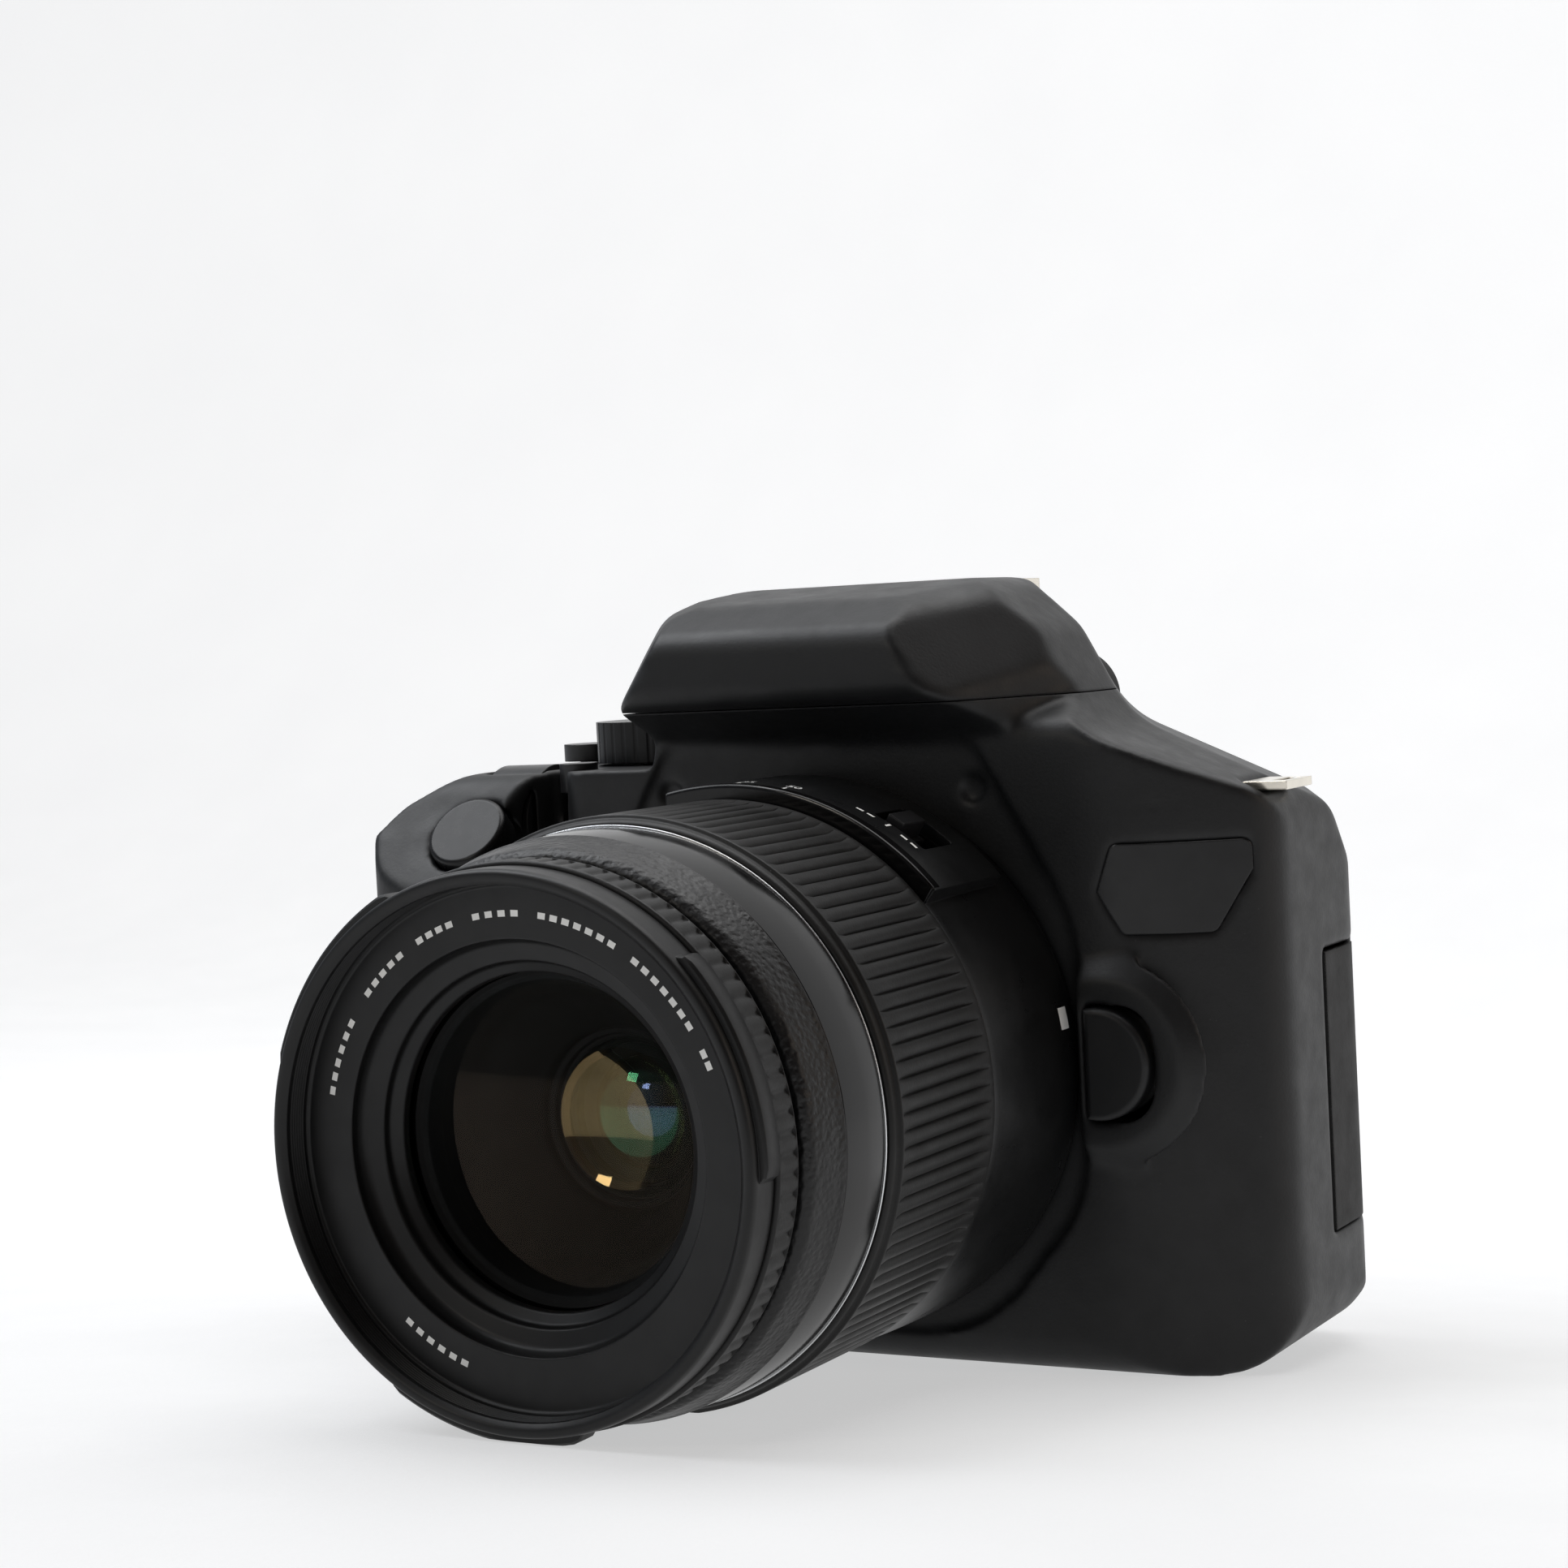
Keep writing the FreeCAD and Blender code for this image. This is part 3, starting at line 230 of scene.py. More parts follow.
# Matt black for the baffles, mirror box and chambers, and also the painted shade in the screws' cross recesses.
MATT_BLACK_AND_SHADE = paint("matt_black_and_painted_shade", (0.0025, 0.0025, 0.0025), 0.7, grain=(900, 0.004, 0.3), edge=0.0, specular=0.2)
DISH = paint("dish_black", (0.0045, 0.0045, 0.0047), 0.42, grain=(2600, 0.012, 0.4), edge=0.15, specular=0.3)
MIRROR = paint("silvered", (0.86, 0.87, 0.88), 0.06, grain=(900, 0.001, 0.2), metal=1.0, edge=0.0, vary=0.02)
SENSOR = paint("sensor_glass", (0.03, 0.05, 0.045), 0.1, grain=(1200, 0.002, 0.2), coat=0.6, vary=0.03)
BOARD = paint("circuit_board", (0.012, 0.075, 0.04), 0.35, grain=(1400, 0.03, 0.5), edge=0.1)
CASE = paint("battery_case", (0.03, 0.03, 0.034), 0.5, grain=(2400, 0.03, 0.5), edge=0.4)
CLEAR = paint("flash_lens", (0.72, 0.73, 0.70), 0.22, grain=(1500, 0.02, 0.4), coat=0.3, brushed=(30, 1, 1))
SCREEN = paint("screen_cover", (0.0035, 0.004, 0.005), 0.08, grain=(700, 0.001, 0.2), edge=0.3, vary=0.03)
WHITE = paint("white_ink", (0.68, 0.68, 0.66), 0.5, grain=(3000, 0.006, 0.4), edge=0.0)
GLASS_FRONT = coated_glass("glass_front", (0.55, 0.42, 0.30), 0.016, (0.6, 0.55, 0.5))
GLASS_GREEN = coated_glass("glass_green", (0.18, 0.80, 0.42), 0.045, (0.4, 0.7, 0.5))
GLASS_AMBER = coated_glass("glass_amber", (0.95, 0.66, 0.30), 0.12, (0.8, 0.5, 0.3))
GLASS_VIOLET = coated_glass("glass_violet", (0.35, 0.45, 0.95), 0.12, (0.6, 0.6, 0.9))

FINISH = {
    "top_cover": SHELL, "front_cover": SHELL, "rear_cover": SHELL, "flash_head": SHELL,
    "bottom_cover": SHELL_FINE,
    "grip_rubber": GRIP, "thumb_rubber": GRIP, "name_plate": GLOSS, "terminal_cover": EYE_RUBBER,
    "tripod_socket": STEEL, "battery_door": SHELL_FINE, "battery_latch": KEY, "mount_panel": SHELL_FINE,
    "body_screws": DARK, "lens_mount_ring": STEEL, "lens_lock_pin": BRIGHT, "lens_release_button": SHELL_FINE,
    "flash_window": CLEAR, "mirror_box": MATT_BLACK_AND_SHADE, "pentamirror": DARK, "shutter_frame": DARK,
    "shutter_blades": DARK, "image_sensor": SENSOR, "main_mirror": MIRROR, "sub_mirror": MIRROR,
    "main_board": BOARD, "battery": CASE, "battery_chamber": MATT_BLACK_AND_SHADE, "memory_card": CASE, "terminal_block": MATT_BLACK_AND_SHADE,
    "mode_dial": SATIN, "main_dial": KEY, "shutter_button": BUTTON, "flash_button": KEY, "power_switch": KEY,
    "hot_shoe": BRIGHT, "lcd_window": SCREEN, "eyecup": EYE_RUBBER, "eyepiece_lens": GLASS_FRONT,
    "diopter_knob": KEY, "strap_lugs": BRIGHT, "lens_barrel": SATIN, "af_mf_switch": KEY,
    "barrel_collar": SATIN,
    "zoom_ring": RUBBER, "inner_barrel": SATIN, "focus_ring": RUBBER, "front_ring": SATIN,
    "front_element": GLASS_FRONT, "rear_elements": GLASS_GREEN,
}


def dress_nodes():
    for name, thing in NODES.items():
        for held in thing.material_slots:
            held.material = FINISH.get(name, KEY)


# ---------------------------------------------------------------- mesh helpers
def finish_piece(name, mesh, finish, body, hides=()):
    """Puts a mesh in the scene as a named piece that rides a body and stands for some CAD nodes."""
    mesh.materials.clear()
    mesh.materials.append(finish)
    piece = bpy.data.objects.new(name, mesh)
    bpy.context.scene.collection.objects.link(piece)
    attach(piece, body)
    if hides:
        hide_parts(*hides)
    return piece


def smooth(mesh, angle=HARD_EDGE):
    mesh.shade_smooth()
    mesh.set_sharp_from_angle(angle=angle)
    return mesh


def outward(mesh, merge=False):
    """Turns every face to look outward, after merging points that coincide if asked to."""
    shape = bmesh.new()
    shape.from_mesh(mesh)
    if merge:
        bmesh.ops.remove_doubles(shape, verts=shape.verts, dist=1e-6)
    bmesh.ops.recalc_face_normals(shape, faces=shape.faces)
    shape.to_mesh(mesh)
    shape.free()
    return mesh


def strip_faces(count, steps):
    """The faces that join each closed section of points to the next one."""
    faces = []
    for j in range(steps):
        for i in range(count):
            k = (i + 1) % count
            faces.append((j * count + i, j * count + k, (j + 1) * count + k, (j + 1) * count + i))
    return faces


def rounded(corners, steps=4):
    """A (radius, y) profile in which corners given a third number are rounded by that much."""
    points = []
    count = len(corners)
    for i, corner in enumerate(corners):
        here = Vector(corner[:2])
        if len(corner) < 3:
            points.append(here)
            continue
        before, after = Vector(corners[i - 1][:2]), Vector(corners[(i + 1) % count][:2])
        reach = min(corner[2], (before - here).length * 0.49, (after - here).length * 0.49)
        start = here + (before - here).normalized() * reach
        end = here + (after - here).normalized() * reach
        for k in range(steps + 1):
            t = k / steps
            points.append(start * (1 - t) ** 2 + here * 2 * t * (1 - t) + end * t * t)
    return points


def lathe(profile, segments=240, closed=True, ribs=0, depth=0.0, between=None, sharp=0.6):
    """A mesh turned round the optical axis; ribs cut it with grooves between two y stations."""
    mesh = bpy.data.meshes.new("turned")
    count = len(profile)
    verts, faces = [], []
    for j in range(segments):
        angle = 2 * math.pi * j / segments
        groove = 1 - abs(math.cos(angle * ribs / 2)) ** sharp if ribs else 0
        for radius, y in profile:
            inside = ribs and between[0] < y < between[1] and radius > between[2]
            r = radius - depth * groove if inside else radius
            verts.append(at(r * math.sin(angle), y, AXIS + r * math.cos(angle)))
    for j in range(segments):
        ahead = (j + 1) % segments
        for i in range(count if closed else count - 1):
            k = (i + 1) % count
            faces.append((j * count + i, j * count + k, ahead * count + k, ahead * count + i))
    mesh.from_pydata(verts, [], faces)
    return smooth(outward(mesh, merge=True))


def stations(profile, low, high, count):
    """The profile with extra points along its outer line between two y stations."""
    best = max(r for r, y in profile)
    extra = [Vector((best, low + (high - low) * k / (count - 1))) for k in range(count)]
    outer = [i for i, (r, y) in enumerate(profile) if r >= best - 1e-6]
    return list(profile[:outer[0] + 1]) + extra + list(profile[outer[-1]:])


def applied(mesh, *settings):
    """The mesh after a stack of modifiers, each given as (type, {property: value})."""
    holder = bpy.data.objects.new("holder", mesh)
    bpy.context.scene.collection.objects.link(holder)
    for kind, values in settings:
        modifier = holder.modifiers.new(kind.lower(), kind)
        for key, value in values.items():
            setattr(modifier, key, value)
    shape = holder.evaluated_get(bpy.context.evaluated_depsgraph_get())
    result = bpy.data.meshes.new_from_object(shape)
    bpy.data.objects.remove(holder)
    result.shade_smooth()
    return result


def carved(mesh, cutter, operation="DIFFERENCE", solver="MANIFOLD"):
    """The mesh with another one cut out of it, or only the room they share."""
    knife = bpy.data.objects.new("knife", cutter)
    bpy.context.scene.collection.objects.link(knife)
    result = applied(mesh, ("BOOLEAN", {"operation": operation, "object": knife, "solver": solver}))
    bpy.data.objects.remove(knife)
    return result


def softened(names, voxel, rounds):
    """CAD nodes copied as one skin with every crease and edge rounded off, as a moulding has."""
    return applied(joined([NODES[name].data for name in names]),
                   ("REMESH", {"mode": "VOXEL", "voxel_size": voxel * MM}),
                   ("SMOOTH", {"factor": 0.5, "iterations": rounds}))


def eased(mesh, rounds):
    """Softens the lip of the flash head further: it is rounder there than any other edge of the body."""
    middle = at(0, 3, 84)
    half_high, half_deep, inner_x, outer_x, steepness = 7, 16, 14, 45, 3
    holder = bpy.data.objects.new("lip", mesh)
    bpy.context.scene.collection.objects.link(holder)
    lip = holder.vertex_groups.new(name="lip")
    for vertex in mesh.vertices:
        away = (vertex.co - middle) / MM
        reach = max(abs(away.z) / half_high, abs(away.y) / half_deep, 1 - abs(away.x) / inner_x)
        if abs(away.x) < outer_x and reach < 1:
            lip.add([vertex.index], min(1.0, steepness * (1 - reach)), "REPLACE")
    relax = holder.modifiers.new("relax", "SMOOTH")
    relax.iterations = rounds
    relax.vertex_group = "lip"
    result = bpy.data.meshes.new_from_object(holder.evaluated_get(bpy.context.evaluated_depsgraph_get()))
    bpy.data.objects.remove(holder)
    return result


def block(x0, x1, y0, y1, z0, z1, radius=0.3, segments=3):
    """A box with rounded edges, in flange-frame millimetres."""
    solid = bmesh.new()
    bmesh.ops.create_cube(solid, size=1)
    middle = at((x0 + x1) / 2, (y0 + y1) / 2, (z0 + z1) / 2)
    size = Vector((x1 - x0, y1 - y0, z1 - z0)) * MM
    place = Matrix.Translation(middle) @ Matrix.Diagonal((*size, 1))
    bmesh.ops.transform(solid, matrix=place, verts=solid.verts)
    bmesh.ops.bevel(solid, geom=solid.edges[:], offset=radius * MM, segments=segments, profile=0.5,
                    affect="EDGES")
    mesh = bpy.data.meshes.new("block")
    solid.to_mesh(mesh)
    solid.free()
    return smooth(mesh)


def joined(meshes):
    whole = bmesh.new()
    for mesh in meshes:
        whole.from_mesh(mesh)
    mesh = bpy.data.meshes.new("joined")
    whole.to_mesh(mesh)
    whole.free()
    return smooth(mesh)


# ---------------------------------------------------------------- body
def button_hole(name, axis, gap=0.3, depth=6.0):
    """A round hole a little wider than a button, running along its press direction."""
    low, high = (Vector(corner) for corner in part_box(name))
    grow = Vector((gap, gap, gap)) * MM
    grow[axis] = depth * MM
    low, high = (low - grow) / MM, (high + grow) / MM
    radius = 0.495 * min(high[i] - low[i] for i in range(3) if i != axis)
    return block(low.x, high.x, low.y - BACK, high.y - BACK, low.z, high.z, radius, 8)


def make_rear_marks():
    """Small printed marks on the rear buttons: a dot, three bars or an open box."""
    kinds = {"live_view": "dot", "ae_lock": "bars", "af_point": "box", "exposure": "bars", "quick": "dot",
             "menu": "bars", "playback": "box", "erase": "dot", "set": "dot"}
    half_wide, half_line, ink, proud = 1.1, 0.12, 0.04, 0.02
    for name, kind in kinds.items():
        low, high = (Vector(corner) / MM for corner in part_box(name + "_button"))
        x, z, face = (low.x + high.x) / 2, (low.z + high.z) / 2, high.y - BACK + proud

        def stroke(x0, x1, z0, z1, radius=0.03):
            return block(x + x0, x + x1, face - ink, face, z + z0, z + z1, radius, 1)

        if kind == "dot":
            mesh = stroke(-0.5, 0.5, -0.5, 0.5, 0.02)
        else:
            rows = (-0.9, 0.9) if kind == "box" else (-0.8, 0, 0.8)
            columns = (-half_wide, half_wide) if kind == "box" else ()
            mesh = joined([stroke(-half_wide, half_wide, row - half_line, row + half_line) for row in rows]
                          + [stroke(column - half_line, column + half_line, -1, 1) for column in columns])
        finish_piece(name + "_mark", mesh, WHITE, NODES[name + "_button"]["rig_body"])


# The flash seam and hinge, where the CAD has them: the knuckles turn inside the hinge groove.
FLASH_SEAM_Z, FLASH_END_Y, FLASH_PIVOT_Z = 84.2, 28.0, 97.0
KNUCKLE_RAD, GROOVE_RAD = 1.9, 2.8


def along_hinge(half_length, radius, edge):
    """A round bar on the flash hinge line."""
    return block(-half_length, half_length, FLASH_END_Y - radius, FLASH_END_Y + radius,
                 FLASH_PIVOT_Z - radius, FLASH_PIVOT_Z + radius, edge, 6)


def above_seam(end_y, seam_z):
    """The room the flash head takes up, out past the body on every other side."""
    return block(-41, 41, -14, end_y, seam_z, 103, 0.01, 1)


def make_covers():
    """The covers and the flash head are softened together, then parted along the flash seam."""
    voxel = 0.45
    rounds = 12
    covers = ("top_cover", "front_cover", "rear_cover", "mount_panel")
    whole = eased(softened(covers + ("flash_head",), voxel, rounds), 3 * rounds)
    head = carved(whole, above_seam(FLASH_END_Y - 0.1, FLASH_SEAM_Z + 0.05), "INTERSECT")
    rest = carved(whole, above_seam(FLASH_END_Y + 0.25, FLASH_SEAM_Z - 0.1))
    rest = carved(rest, along_hinge(40, GROOVE_RAD, 2.7))
    for name, axis in (("flash_button", 2), ("quick_button", 1), ("lens_release_button", 1)):
        rest = carved(rest, button_hole(name, axis))
    finish_piece("flash_knuckles", along_hinge(17.4, KNUCKLE_RAD, 1.85), DARK, "flash")
    finish_piece("body_skin", smooth(rest, MOULD_EDGE), SHELL, "camera", covers)
    finish_piece("flash_skin", smooth(head, MOULD_EDGE), SHELL, "flash", ("flash_head",))


def make_screws():
    """Two cross-head screws, a little below the surface of the panel; their recesses are painted shade, flat
    matt black crosses on the heads.
    """
    height = 73
    profile = [Vector(p) for p in ((0.05, 4.9), (1.2, 4.9), (1.6, 5.0), (1.8, 5.25), (1.8, 5.7), (0.05, 5.7))]
    for name, x in (("screw_left", 21.75), ("screw_right", -21.75)):
        head = lathe(profile, 48)
        for vertex in head.vertices:
            vertex.co += Vector((x, 0, height - AXIS)) * MM
        # Painted shade: a flat matt black cross on each head stands for the shade in its recess.
        cross = joined([block(x - 1.0, x + 1.0, 4.82, 4.95, height - 0.17, height + 0.17, 0.03),
                        block(x - 0.17, x + 0.17, 4.82, 4.95, height - 1, height + 1, 0.03)])
        finish_piece(name, head, DARK, "camera", ("body_screws",) if x > 0 else ())
        finish_piece(name + "_cross_shade", cross, MATT_BLACK_AND_SHADE, "camera")


# ---------------------------------------------------------------- lens
def make_front_ring():
    """The front rim with its filter thread, the name annulus and the stepped dish."""
    thread = []
    for k in range(7):
        y = -71.0 + 0.42 * k
        thread += [(29.0, y), (29.35, y + 0.21)]
    profile = rounded([
        (18.75, -62.6), (18.75, -63.6, 0.3), (20.1, -64.4, 0.4), (20.2, -65.4, 0.3), (22.3, -66.0, 0.5),
        (22.8, -67.0, 0.3), (22.8, -67.9, 0.25), (28.6, -67.9, 0.3), (28.8, -68.2)]) + [
        Vector(p) for p in reversed(thread)] + rounded([
            (29.2, -71.6, 0.2), (29.7, -72.0, 0.35), (30.5, -72.0, 0.5), (30.8, -71.3, 0.4), (30.8, -67.5, 0.2),
            (28.2, -67.4), (27.9, -61.4), (27.0, -61.4), (27.0, -65.7), (19.2, -62.0)])
    ring = lathe(profile, 256)
    lugs = []
    for middle in (50, 170, 290):
        lugs.append(lug(math.radians(middle)))
    finish_piece("front_rim", joined([ring] + lugs), DISH, "focus", ("front_ring",))


def lug(middle):
    """One of the three raised lugs on the rim, with rounded ends."""
    mesh = bpy.data.meshes.new("lug")
    steps, half = 28, math.radians(24.5)
    section = [(30.5, -70.8), (31.45, -70.8), (31.75, -70.5), (31.8, -70.2), (31.8, -67.9), (31.6, -67.55),
               (30.5, -67.55)]
    verts = []
    for j in range(steps + 1):
        along = 2 * j / steps - 1
        ease = min(1.0, (1 - abs(along)) * 9)
        angle = middle + half * along
        for radius, y in section:
            r = 30.5 + (radius - 30.5) * math.sqrt(ease)
            verts.append(at(-r * math.sin(angle), y, AXIS + r * math.cos(angle)))
    mesh.from_pydata(verts, [], strip_faces(len(section), steps))
    return mesh


def dome(radius, edge_radius, y_vertex, bulge, rings=14, segments=96):
    """A spherical lens surface; bulge is -1 when it swells towards the subject."""
    mesh = bpy.data.meshes.new("dome")
    verts, faces = [at(0, y_vertex, AXIS)], []
    for i in range(1, rings + 1):
        r = edge_radius * i / rings
        y = y_vertex - bulge * (radius - math.sqrt(radius * radius - r * r))
        for j in range(segments):
            a = 2 * math.pi * j / segments
            verts.append(at(r * math.sin(a), y, AXIS + r * math.cos(a)))
    for j in range(segments):
        faces.append((0, 1 + j, 1 + (j + 1) % segments))
    for i in range(rings - 1):
        low, high = 1 + i * segments, 1 + (i + 1) * segments
        for j in range(segments):
            k = (j + 1) % segments
            faces.append((low + j, high + j, high + k, low + k))
    mesh.from_pydata(verts, [], faces)
    mesh.shade_smooth()
    return mesh


def make_glass():
    """The coated glass surfaces, and the stepped black baffle that holds them."""
    front = dome(60, 18.7, -63.6, -1)
    finish_piece("front_glass", front, GLASS_FRONT, "focus", ("front_element",))
    finish_piece("second_glass", dome(13.5, 9.6, -49.2, -1), GLASS_GREEN, "focus")
    finish_piece("third_glass", dome(19, 8.2, -45.6, 1), GLASS_AMBER, "focus")
    finish_piece("fourth_glass", dome(9, 6.0, -44.8, -1), GLASS_VIOLET, "focus")
    steps = rounded([
        (18.7, -61.4), (18.2, -60.8, 0.2), (17.6, -60.6, 0.2), (15.6, -54.0, 1.5), (10.6, -47.6, 0.8),
        (10.4, -46.6, 0.2), (9.7, -46.4, 0.2), (9.6, -45.6, 0.1), (9.0, -45.4, 0.1), (8.9, -44.2, 0.1),
        (8.3, -44.0, 0.1), (8.2, -42.6, 0.1), (6.6, -42.4, 0.1), (6.5, -41.0),
        (0.2, -40.8), (0.2, -40.0), (20.0, -40.0), (20.0, -60.0)])
    finish_piece("lens_baffle", lathe(steps, 160), MATT_BLACK_AND_SHADE, "focus")


def make_rings():
    """The focus and zoom grips, and the collar, gloss band and a thin bright metal ring between them; the ring
    is a painted highlight on the edge of the gloss band.
    """
    focus = rounded([
        (28.4, -62.8), (31.1, -62.8, 0.3), (31.3, -63.2, 0.2), (31.3, -67.2, 0.2), (31.0, -67.4, 0.15),
        (29.6, -67.4), (29.6, -67.0), (28.4, -67.0)])
    mesh = lathe(stations(focus, -63.4, -67.0, 7), 810, ribs=90, depth=0.5, between=(-66.9, -63.35, 30.0),
                 sharp=0.5)
    finish_piece("focus_grip", mesh, RUBBER, "focus", ("focus_ring",))
    zoom = rounded([
        (30.6, -46.5), (33.7, -46.5, 0.3), (34.0, -46.1, 0.2), (34.1, -45.4, 0.2), (34.6, -45.2, 0.2),
        (34.6, -21.4, 0.3), (34.3, -21.3), (30.6, -21.3)])
    mesh = lathe(stations(zoom, -44.9, -22.4, 12), 1120, ribs=112, depth=0.7, between=(-44.8, -22.5, 33.0),
                 sharp=0.5)
    finish_piece("zoom_grip", mesh, RUBBER, "zoom", ("zoom_ring",))
    collar = rounded([
        (29.5, -46.8), (32.9, -46.8), (32.9, -55.4), (33.1, -55.6, 0.3), (32.75, -56.6, 0.7),
        (32.0, -60.9, 0.8), (31.2, -61.7, 0.3), (29.5, -61.8)])
    finish_piece("collar", lathe(collar, 256), PITTED, "camera", ("barrel_collar",))
    # Painted highlight: a thin bright metal ring where the edge of the gloss band catches the light.
    line = rounded([(33.2, -47.0), (33.55, -47.0, 0.08), (33.55, -47.22, 0.08), (33.2, -47.22)])
    finish_piece("painted_highlight_line", lathe(line, 256), PAINTED_HIGHLIGHT, "camera")
    band = rounded([(32.7, -47.25), (33.42, -47.25, 0.1), (33.3, -50.6, 0.4), (32.95, -55.3, 0.1),
                    (32.7, -55.4)])
    finish_piece("gloss_band", lathe(band, 256), BAND, "camera")


def spun(radius, degrees, y):
    """A point round the optical axis, by its angle from the top towards +x."""
    a = math.radians(degrees)
    return at(radius * math.sin(a), y, AXIS + radius * math.cos(a))


def sector(inner, outer, start, end, low_y, high_y, ease=1.2, steps=60):
    """A raised block that follows the barrel between two angles, with rounded edges all round."""
    mesh = bpy.data.meshes.new("sector")
    section = rounded([(inner, low_y), (outer, low_y, 0.45), (outer, high_y, 0.45), (inner, high_y)])
    count = len(section)
    verts = []
    for j in range(steps + 1):
        degrees = start + (end - start) * j / steps
        margin = min(degrees - start, end - degrees) / ease
        lift = math.sqrt(max(0.0, 1 - max(0.0, 1 - margin) ** 2))
        for radius, y in section:
            verts.append(spun(inner + (radius - inner) * lift, degrees, y))
    ends = [tuple(range(count)), tuple(reversed(range(steps * count, (steps + 1) * count)))]
    mesh.from_pydata(verts, [], strip_faces(count, steps) + ends)
    return outward(mesh)


SWITCH_TURN = 33.5


def cut_slot(mesh, turn):
    """Sinks the focus switch's slot into the barrel's raised block."""
    knife = block(-3.4, 4.4, -14.3, -6.3, 32.0, 42.0, 0.5)
    knife.transform(Matrix.Translation(-at(0, 0, 0)))
    knife.transform(Matrix.Rotation(math.radians(turn), 4, "Y"))
    knife.transform(Matrix.Translation(at(0, 0, AXIS)))
    return smooth(carved(mesh, knife, solver="EXACT"), SLOT_EDGE)


def inked(name, marks, radius, body):
    """Short printed marks on the barrel: (degrees, y, degrees wide, length) each."""
    mesh = bpy.data.meshes.new(name)
    verts, faces = [], []
    for degrees, y, wide, tall in marks:
        steps = max(1, int(wide / 1.5))
        for k in range(steps):
            a0 = degrees - wide / 2 + wide * k / steps
            a1 = a0 + wide / steps
            base = len(verts)
            low, high = y - tall / 2, y + tall / 2
            for a, at_y in ((a0, low), (a1, low), (a1, high), (a0, high)):
                verts.append(spun(radius, a, at_y))
            faces.append((base, base + 1, base + 2, base + 3))
    mesh.from_pydata(verts, [], faces)
    finish_piece(name, mesh, WHITE, body)


def lettered(name, words, size, degrees, y, radius, body):
    """Flat printed characters wrapped round the barrel, as a thin mesh."""
    font = bpy.data.curves.new(name, "FONT")
    font.body = words
    font.size = size
    font.align_x = "CENTER"
    font.align_y = "CENTER"
    font.resolution_u = 3
    holder = bpy.data.objects.new(name, font)
    bpy.context.scene.collection.objects.link(holder)
    mesh = bpy.data.meshes.new_from_object(holder.evaluated_get(bpy.context.evaluated_depsgraph_get()))
    bpy.data.objects.remove(holder)
    for vertex in mesh.vertices:
        across, up = vertex.co.x, vertex.co.y
        vertex.co = spun(radius, degrees + math.degrees(across / 36), y + up)
    finish_piece(name, mesh, WHITE, body)


def make_barrel():
    """The fixed barrel: tapered skirt, raised block with the switch slot, and its printed marks."""
    skirt = rounded([
        (30.4, -20.9), (34.2, -20.9, 0.4), (34.3, -19.0, 0.5), (34.75, -9.0, 2.0), (34.9, 2.0, 0.5),
        (34.6, 3.3, 0.3), (33.4, 3.3), (33.4, -0.4), (26.2, -0.4), (26.2, -4.0), (30.4, -4.0)])
    raised = sector(33.2, 36.3, -14, 51, -20.6, -1.8)
    shape = cut_slot(joined([lathe(skirt, 240), raised]), SWITCH_TURN)
    finish_piece("rear_barrel", shape, SATIN, "camera", ("lens_barrel",))
    finish_piece("glossy_step", sector(33.9, 36.38, -13.5, 50.5, -20.75, -18.6), BAND, "camera")
    inked("mount_index", [(80.5, -0.6, 4.4, 2.2)], 34.98, "camera")
    scale = {"24": -8, "35": 2, "50": 12}
    inked("focal_ticks", [(degrees, -18.8, 0.5, 1.0) for degrees in scale.values()], 36.42, "camera")
    for number, degrees in scale.items():
        lettered("focal_" + number, number, 2.0, degrees, -16.4, 36.36, "camera")
    dashes = [(degrees, -15.6, 1.6, 0.5) for degrees in (26, 28.5, 36.5, 39)]
    inked("switch_marks", dashes + [(32.4, -15.4, 0.5, 1.3)], 36.36, "camera")


def make_annulus_marks():
    """White dashes round the name annulus, in place of its lettering."""
    words = ((-78, 22), (-50, 17), (-29, 13), (-11, 15), (8, 24), (36, 24), (64, 6))
    mesh = bpy.data.meshes.new("annulus_marks")
    verts, faces = [], []
    for start, sweep in words + ((200, 22),):
        count = max(2, round(sweep / 3.4))
        for k in range(count):
            a0 = math.radians(start + sweep * k / count)
            a1 = a0 + math.radians(2.1)
            for j in range(3):
                b0, b1 = a0 + (a1 - a0) * j / 3, a0 + (a1 - a0) * (j + 1) / 3
                base = len(verts)
                for r, a in ((25.3, b0), (26.0, b0), (26.0, b1), (25.3, b1)):
                    verts.append(at(r * math.sin(a), -67.93, AXIS + r * math.cos(a)))
                faces.append((base, base + 1, base + 2, base + 3))
    mesh.from_pydata(verts, [], faces)
    finish_piece("annulus_marks", mesh, WHITE, "focus")


# ---------------------------------------------------------------- stage, light and camera
TILT = math.radians(5.7)
FOOT_Y = -0.0213


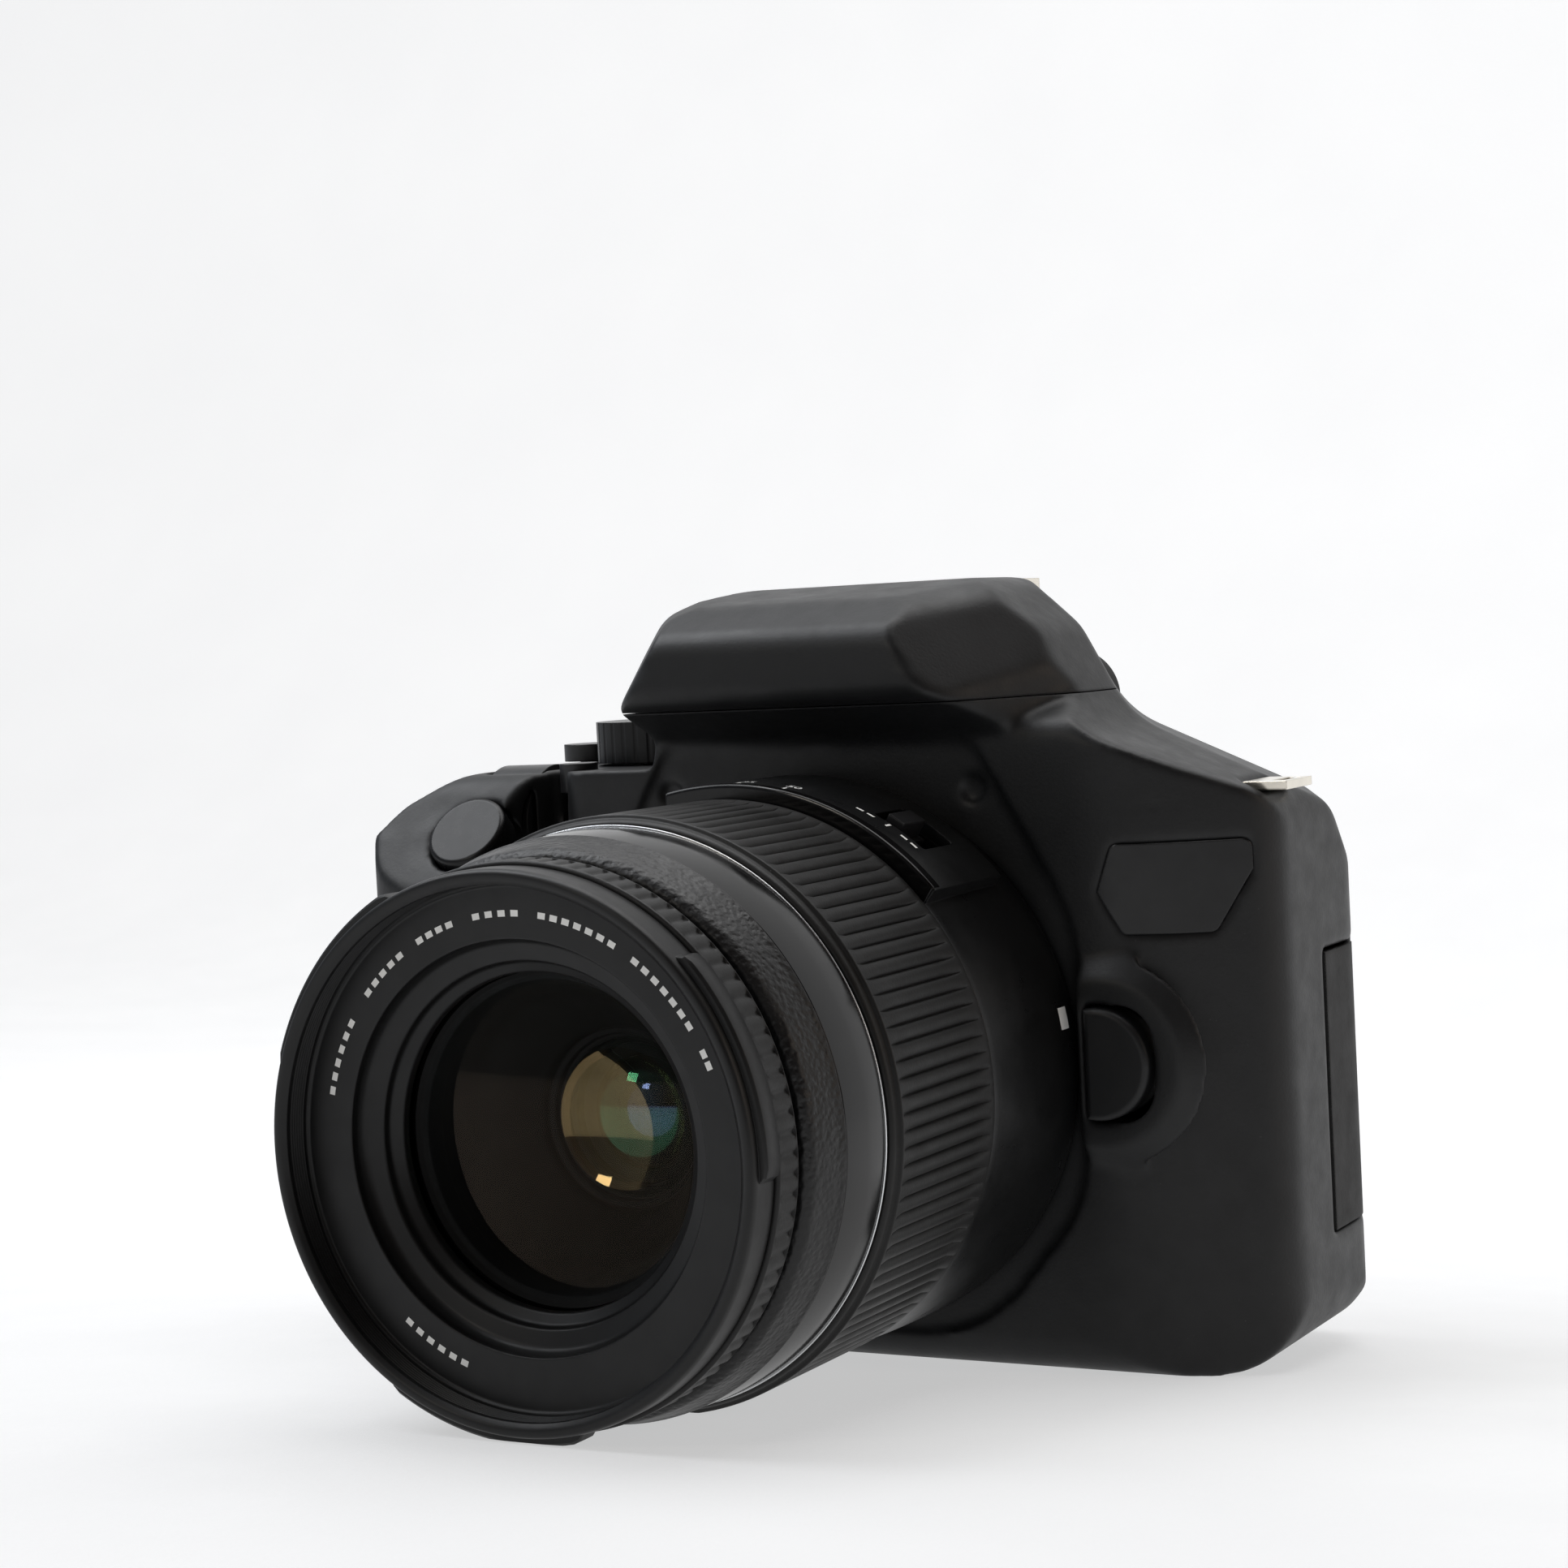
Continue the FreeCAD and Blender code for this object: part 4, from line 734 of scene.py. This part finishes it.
def make_stage():
    """A pale seamless sweep under the tilted camera, rising into a white backdrop."""
    mesh = bpy.data.meshes.new("sweep")
    half = 2.2
    line = [(-1.6 + 0.1 * k, 0.0) for k in range(27)]
    for k in range(1, 25):
        a = math.pi / 2 * k / 24
        line.append((1.0 + 0.7 * math.sin(a), 0.7 - 0.7 * math.cos(a)))
    line += [(1.7, 0.7 + 0.25 * k) for k in range(1, 8)]
    verts, faces = [], []
    columns = 16
    for y, z in line:
        ty = y * math.cos(TILT) + z * math.sin(TILT)
        tz = -y * math.sin(TILT) + z * math.cos(TILT)
        for c in range(columns + 1):
            verts.append(((2 * c / columns - 1) * half, ty + FOOT_Y, tz))
    row = columns + 1
    for i in range(len(line) - 1):
        for c in range(columns):
            faces.append((i * row + c, i * row + c + 1, (i + 1) * row + c + 1, (i + 1) * row + c))
    mesh.from_pydata(verts, [], faces)
    mesh.shade_smooth()
    n = Nodes("sweep_cloth")
    n.shader.inputs["Specular IOR Level"].default_value = 0.25
    cloth = n.tint(n.spread(n.noise(9, 3.0), 0, 1), (0.33, 0.33, 0.335), (0.37, 0.37, 0.37))
    n.link(cloth, n.shader.inputs["Base Color"])
    n.shader.inputs["Emission Color"].default_value = (0.97, 0.975, 0.98, 1)
    depth = n.add("ShaderNodeSeparateXYZ")
    n.link(n.where, depth.inputs["Vector"])
    n.link(n.spread(depth.outputs["Y"], 0.50, 0.80, -0.3, 1.6), n.shader.inputs["Emission Strength"])
    n.link(n.spread(n.noise(40, 4.0), 0.6, 0.8), n.shader.inputs["Roughness"])
    n.link(n.relief(n.noise(700, 4.0, 0.7), 0.15, 0.5), n.shader.inputs["Normal"])
    mesh.materials.append(n.material)
    sweep = bpy.data.objects.new("sweep", mesh)
    bpy.context.scene.collection.objects.link(sweep)


def area(name, where, target, size, power, colour):
    lamp = bpy.data.lights.new(name, "AREA")
    lamp.shape = "RECTANGLE"
    lamp.size, lamp.size_y = size
    lamp.energy = power
    lamp.color = colour
    thing = bpy.data.objects.new(name, lamp)
    thing.location = where
    thing.rotation_euler = (Vector(target) - Vector(where)).to_track_quat("-Z", "Y").to_euler()
    bpy.context.scene.collection.objects.link(thing)


def make_lights():
    area("key_light", (-0.60, -0.10, 1.00), (0, -0.02, 0.05), (0.9, 0.7), 9, (0.95, 0.97, 1.0))
    area("top_light", (0.05, 0.35, 1.15), (0, 0.05, 0.03), (1.0, 0.8), 8, (1.0, 1.0, 1.0))
    area("side_light", (1.10, 0.25, 0.40), (0.05, 0, 0.05), (0.25, 0.5), 1.2, (1.0, 0.85, 0.72))
    area("window_light", (-0.35, -1.25, 0.80), (0, -0.1, 0.04), (0.26, 0.2), 1.6, (1.0, 0.93, 0.82))
    world = bpy.data.worlds.new("room")
    world.use_nodes = True
    tree = world.node_tree
    where = tree.nodes.new("ShaderNodeTexCoord")
    split = tree.nodes.new("ShaderNodeSeparateXYZ")
    tree.links.new(where.outputs["Generated"], split.inputs[0])
    side = tree.nodes.new("ShaderNodeMapRange")
    for key, value in (("From Min", -0.75), ("From Max", 0.35), ("To Min", 0.0), ("To Max", 1.0)):
        side.inputs[key].default_value = value
    tree.links.new(split.outputs[0], side.inputs["Value"])
    mix = tree.nodes.new("ShaderNodeMix")
    mix.data_type = "RGBA"
    mix.inputs[6].default_value = (0.42, 0.45, 0.50, 1)
    mix.inputs[7].default_value = (0.055, 0.03, 0.018, 1)
    tree.links.new(side.outputs["Result"], mix.inputs[0])
    back = tree.nodes["Background"]
    tree.links.new(mix.outputs[2], back.inputs["Color"])
    back.inputs["Strength"].default_value = 0.62
    bpy.context.scene.world = world


def make_camera():
    lens = bpy.data.cameras.new("main_view")
    lens.lens = 71.98
    lens.sensor_width = 36
    lens.clip_start = 0.01
    yaw, pitch, roll = math.radians(28.78), math.radians(2.77), math.radians(-2.97)
    ahead = Vector((-math.sin(yaw) * math.cos(pitch), math.cos(yaw) * math.cos(pitch), -math.sin(pitch)))
    level = Vector((math.cos(yaw), math.sin(yaw), 0))
    upward = level.cross(ahead)
    right = math.cos(roll) * level + math.sin(roll) * upward
    top = -math.sin(roll) * level + math.cos(roll) * upward
    turned = Matrix((right, top, -ahead)).transposed()
    camera = bpy.data.objects.new("main_view", lens)
    camera.matrix_world = Matrix.Translation((0.1885, -0.3783, 0.0936)) @ turned.to_4x4()
    bpy.context.scene.collection.objects.link(camera)
    bpy.context.scene.camera = camera
    bpy.context.scene.view_settings.view_transform = "Standard"
    bpy.context.scene.view_settings.look = "None"


dress_nodes()
make_covers()
make_front_ring()
make_glass()
make_rings()
make_barrel()
make_annulus_marks()
make_screws()
make_rear_marks()
make_stage()
make_lights()
make_camera()
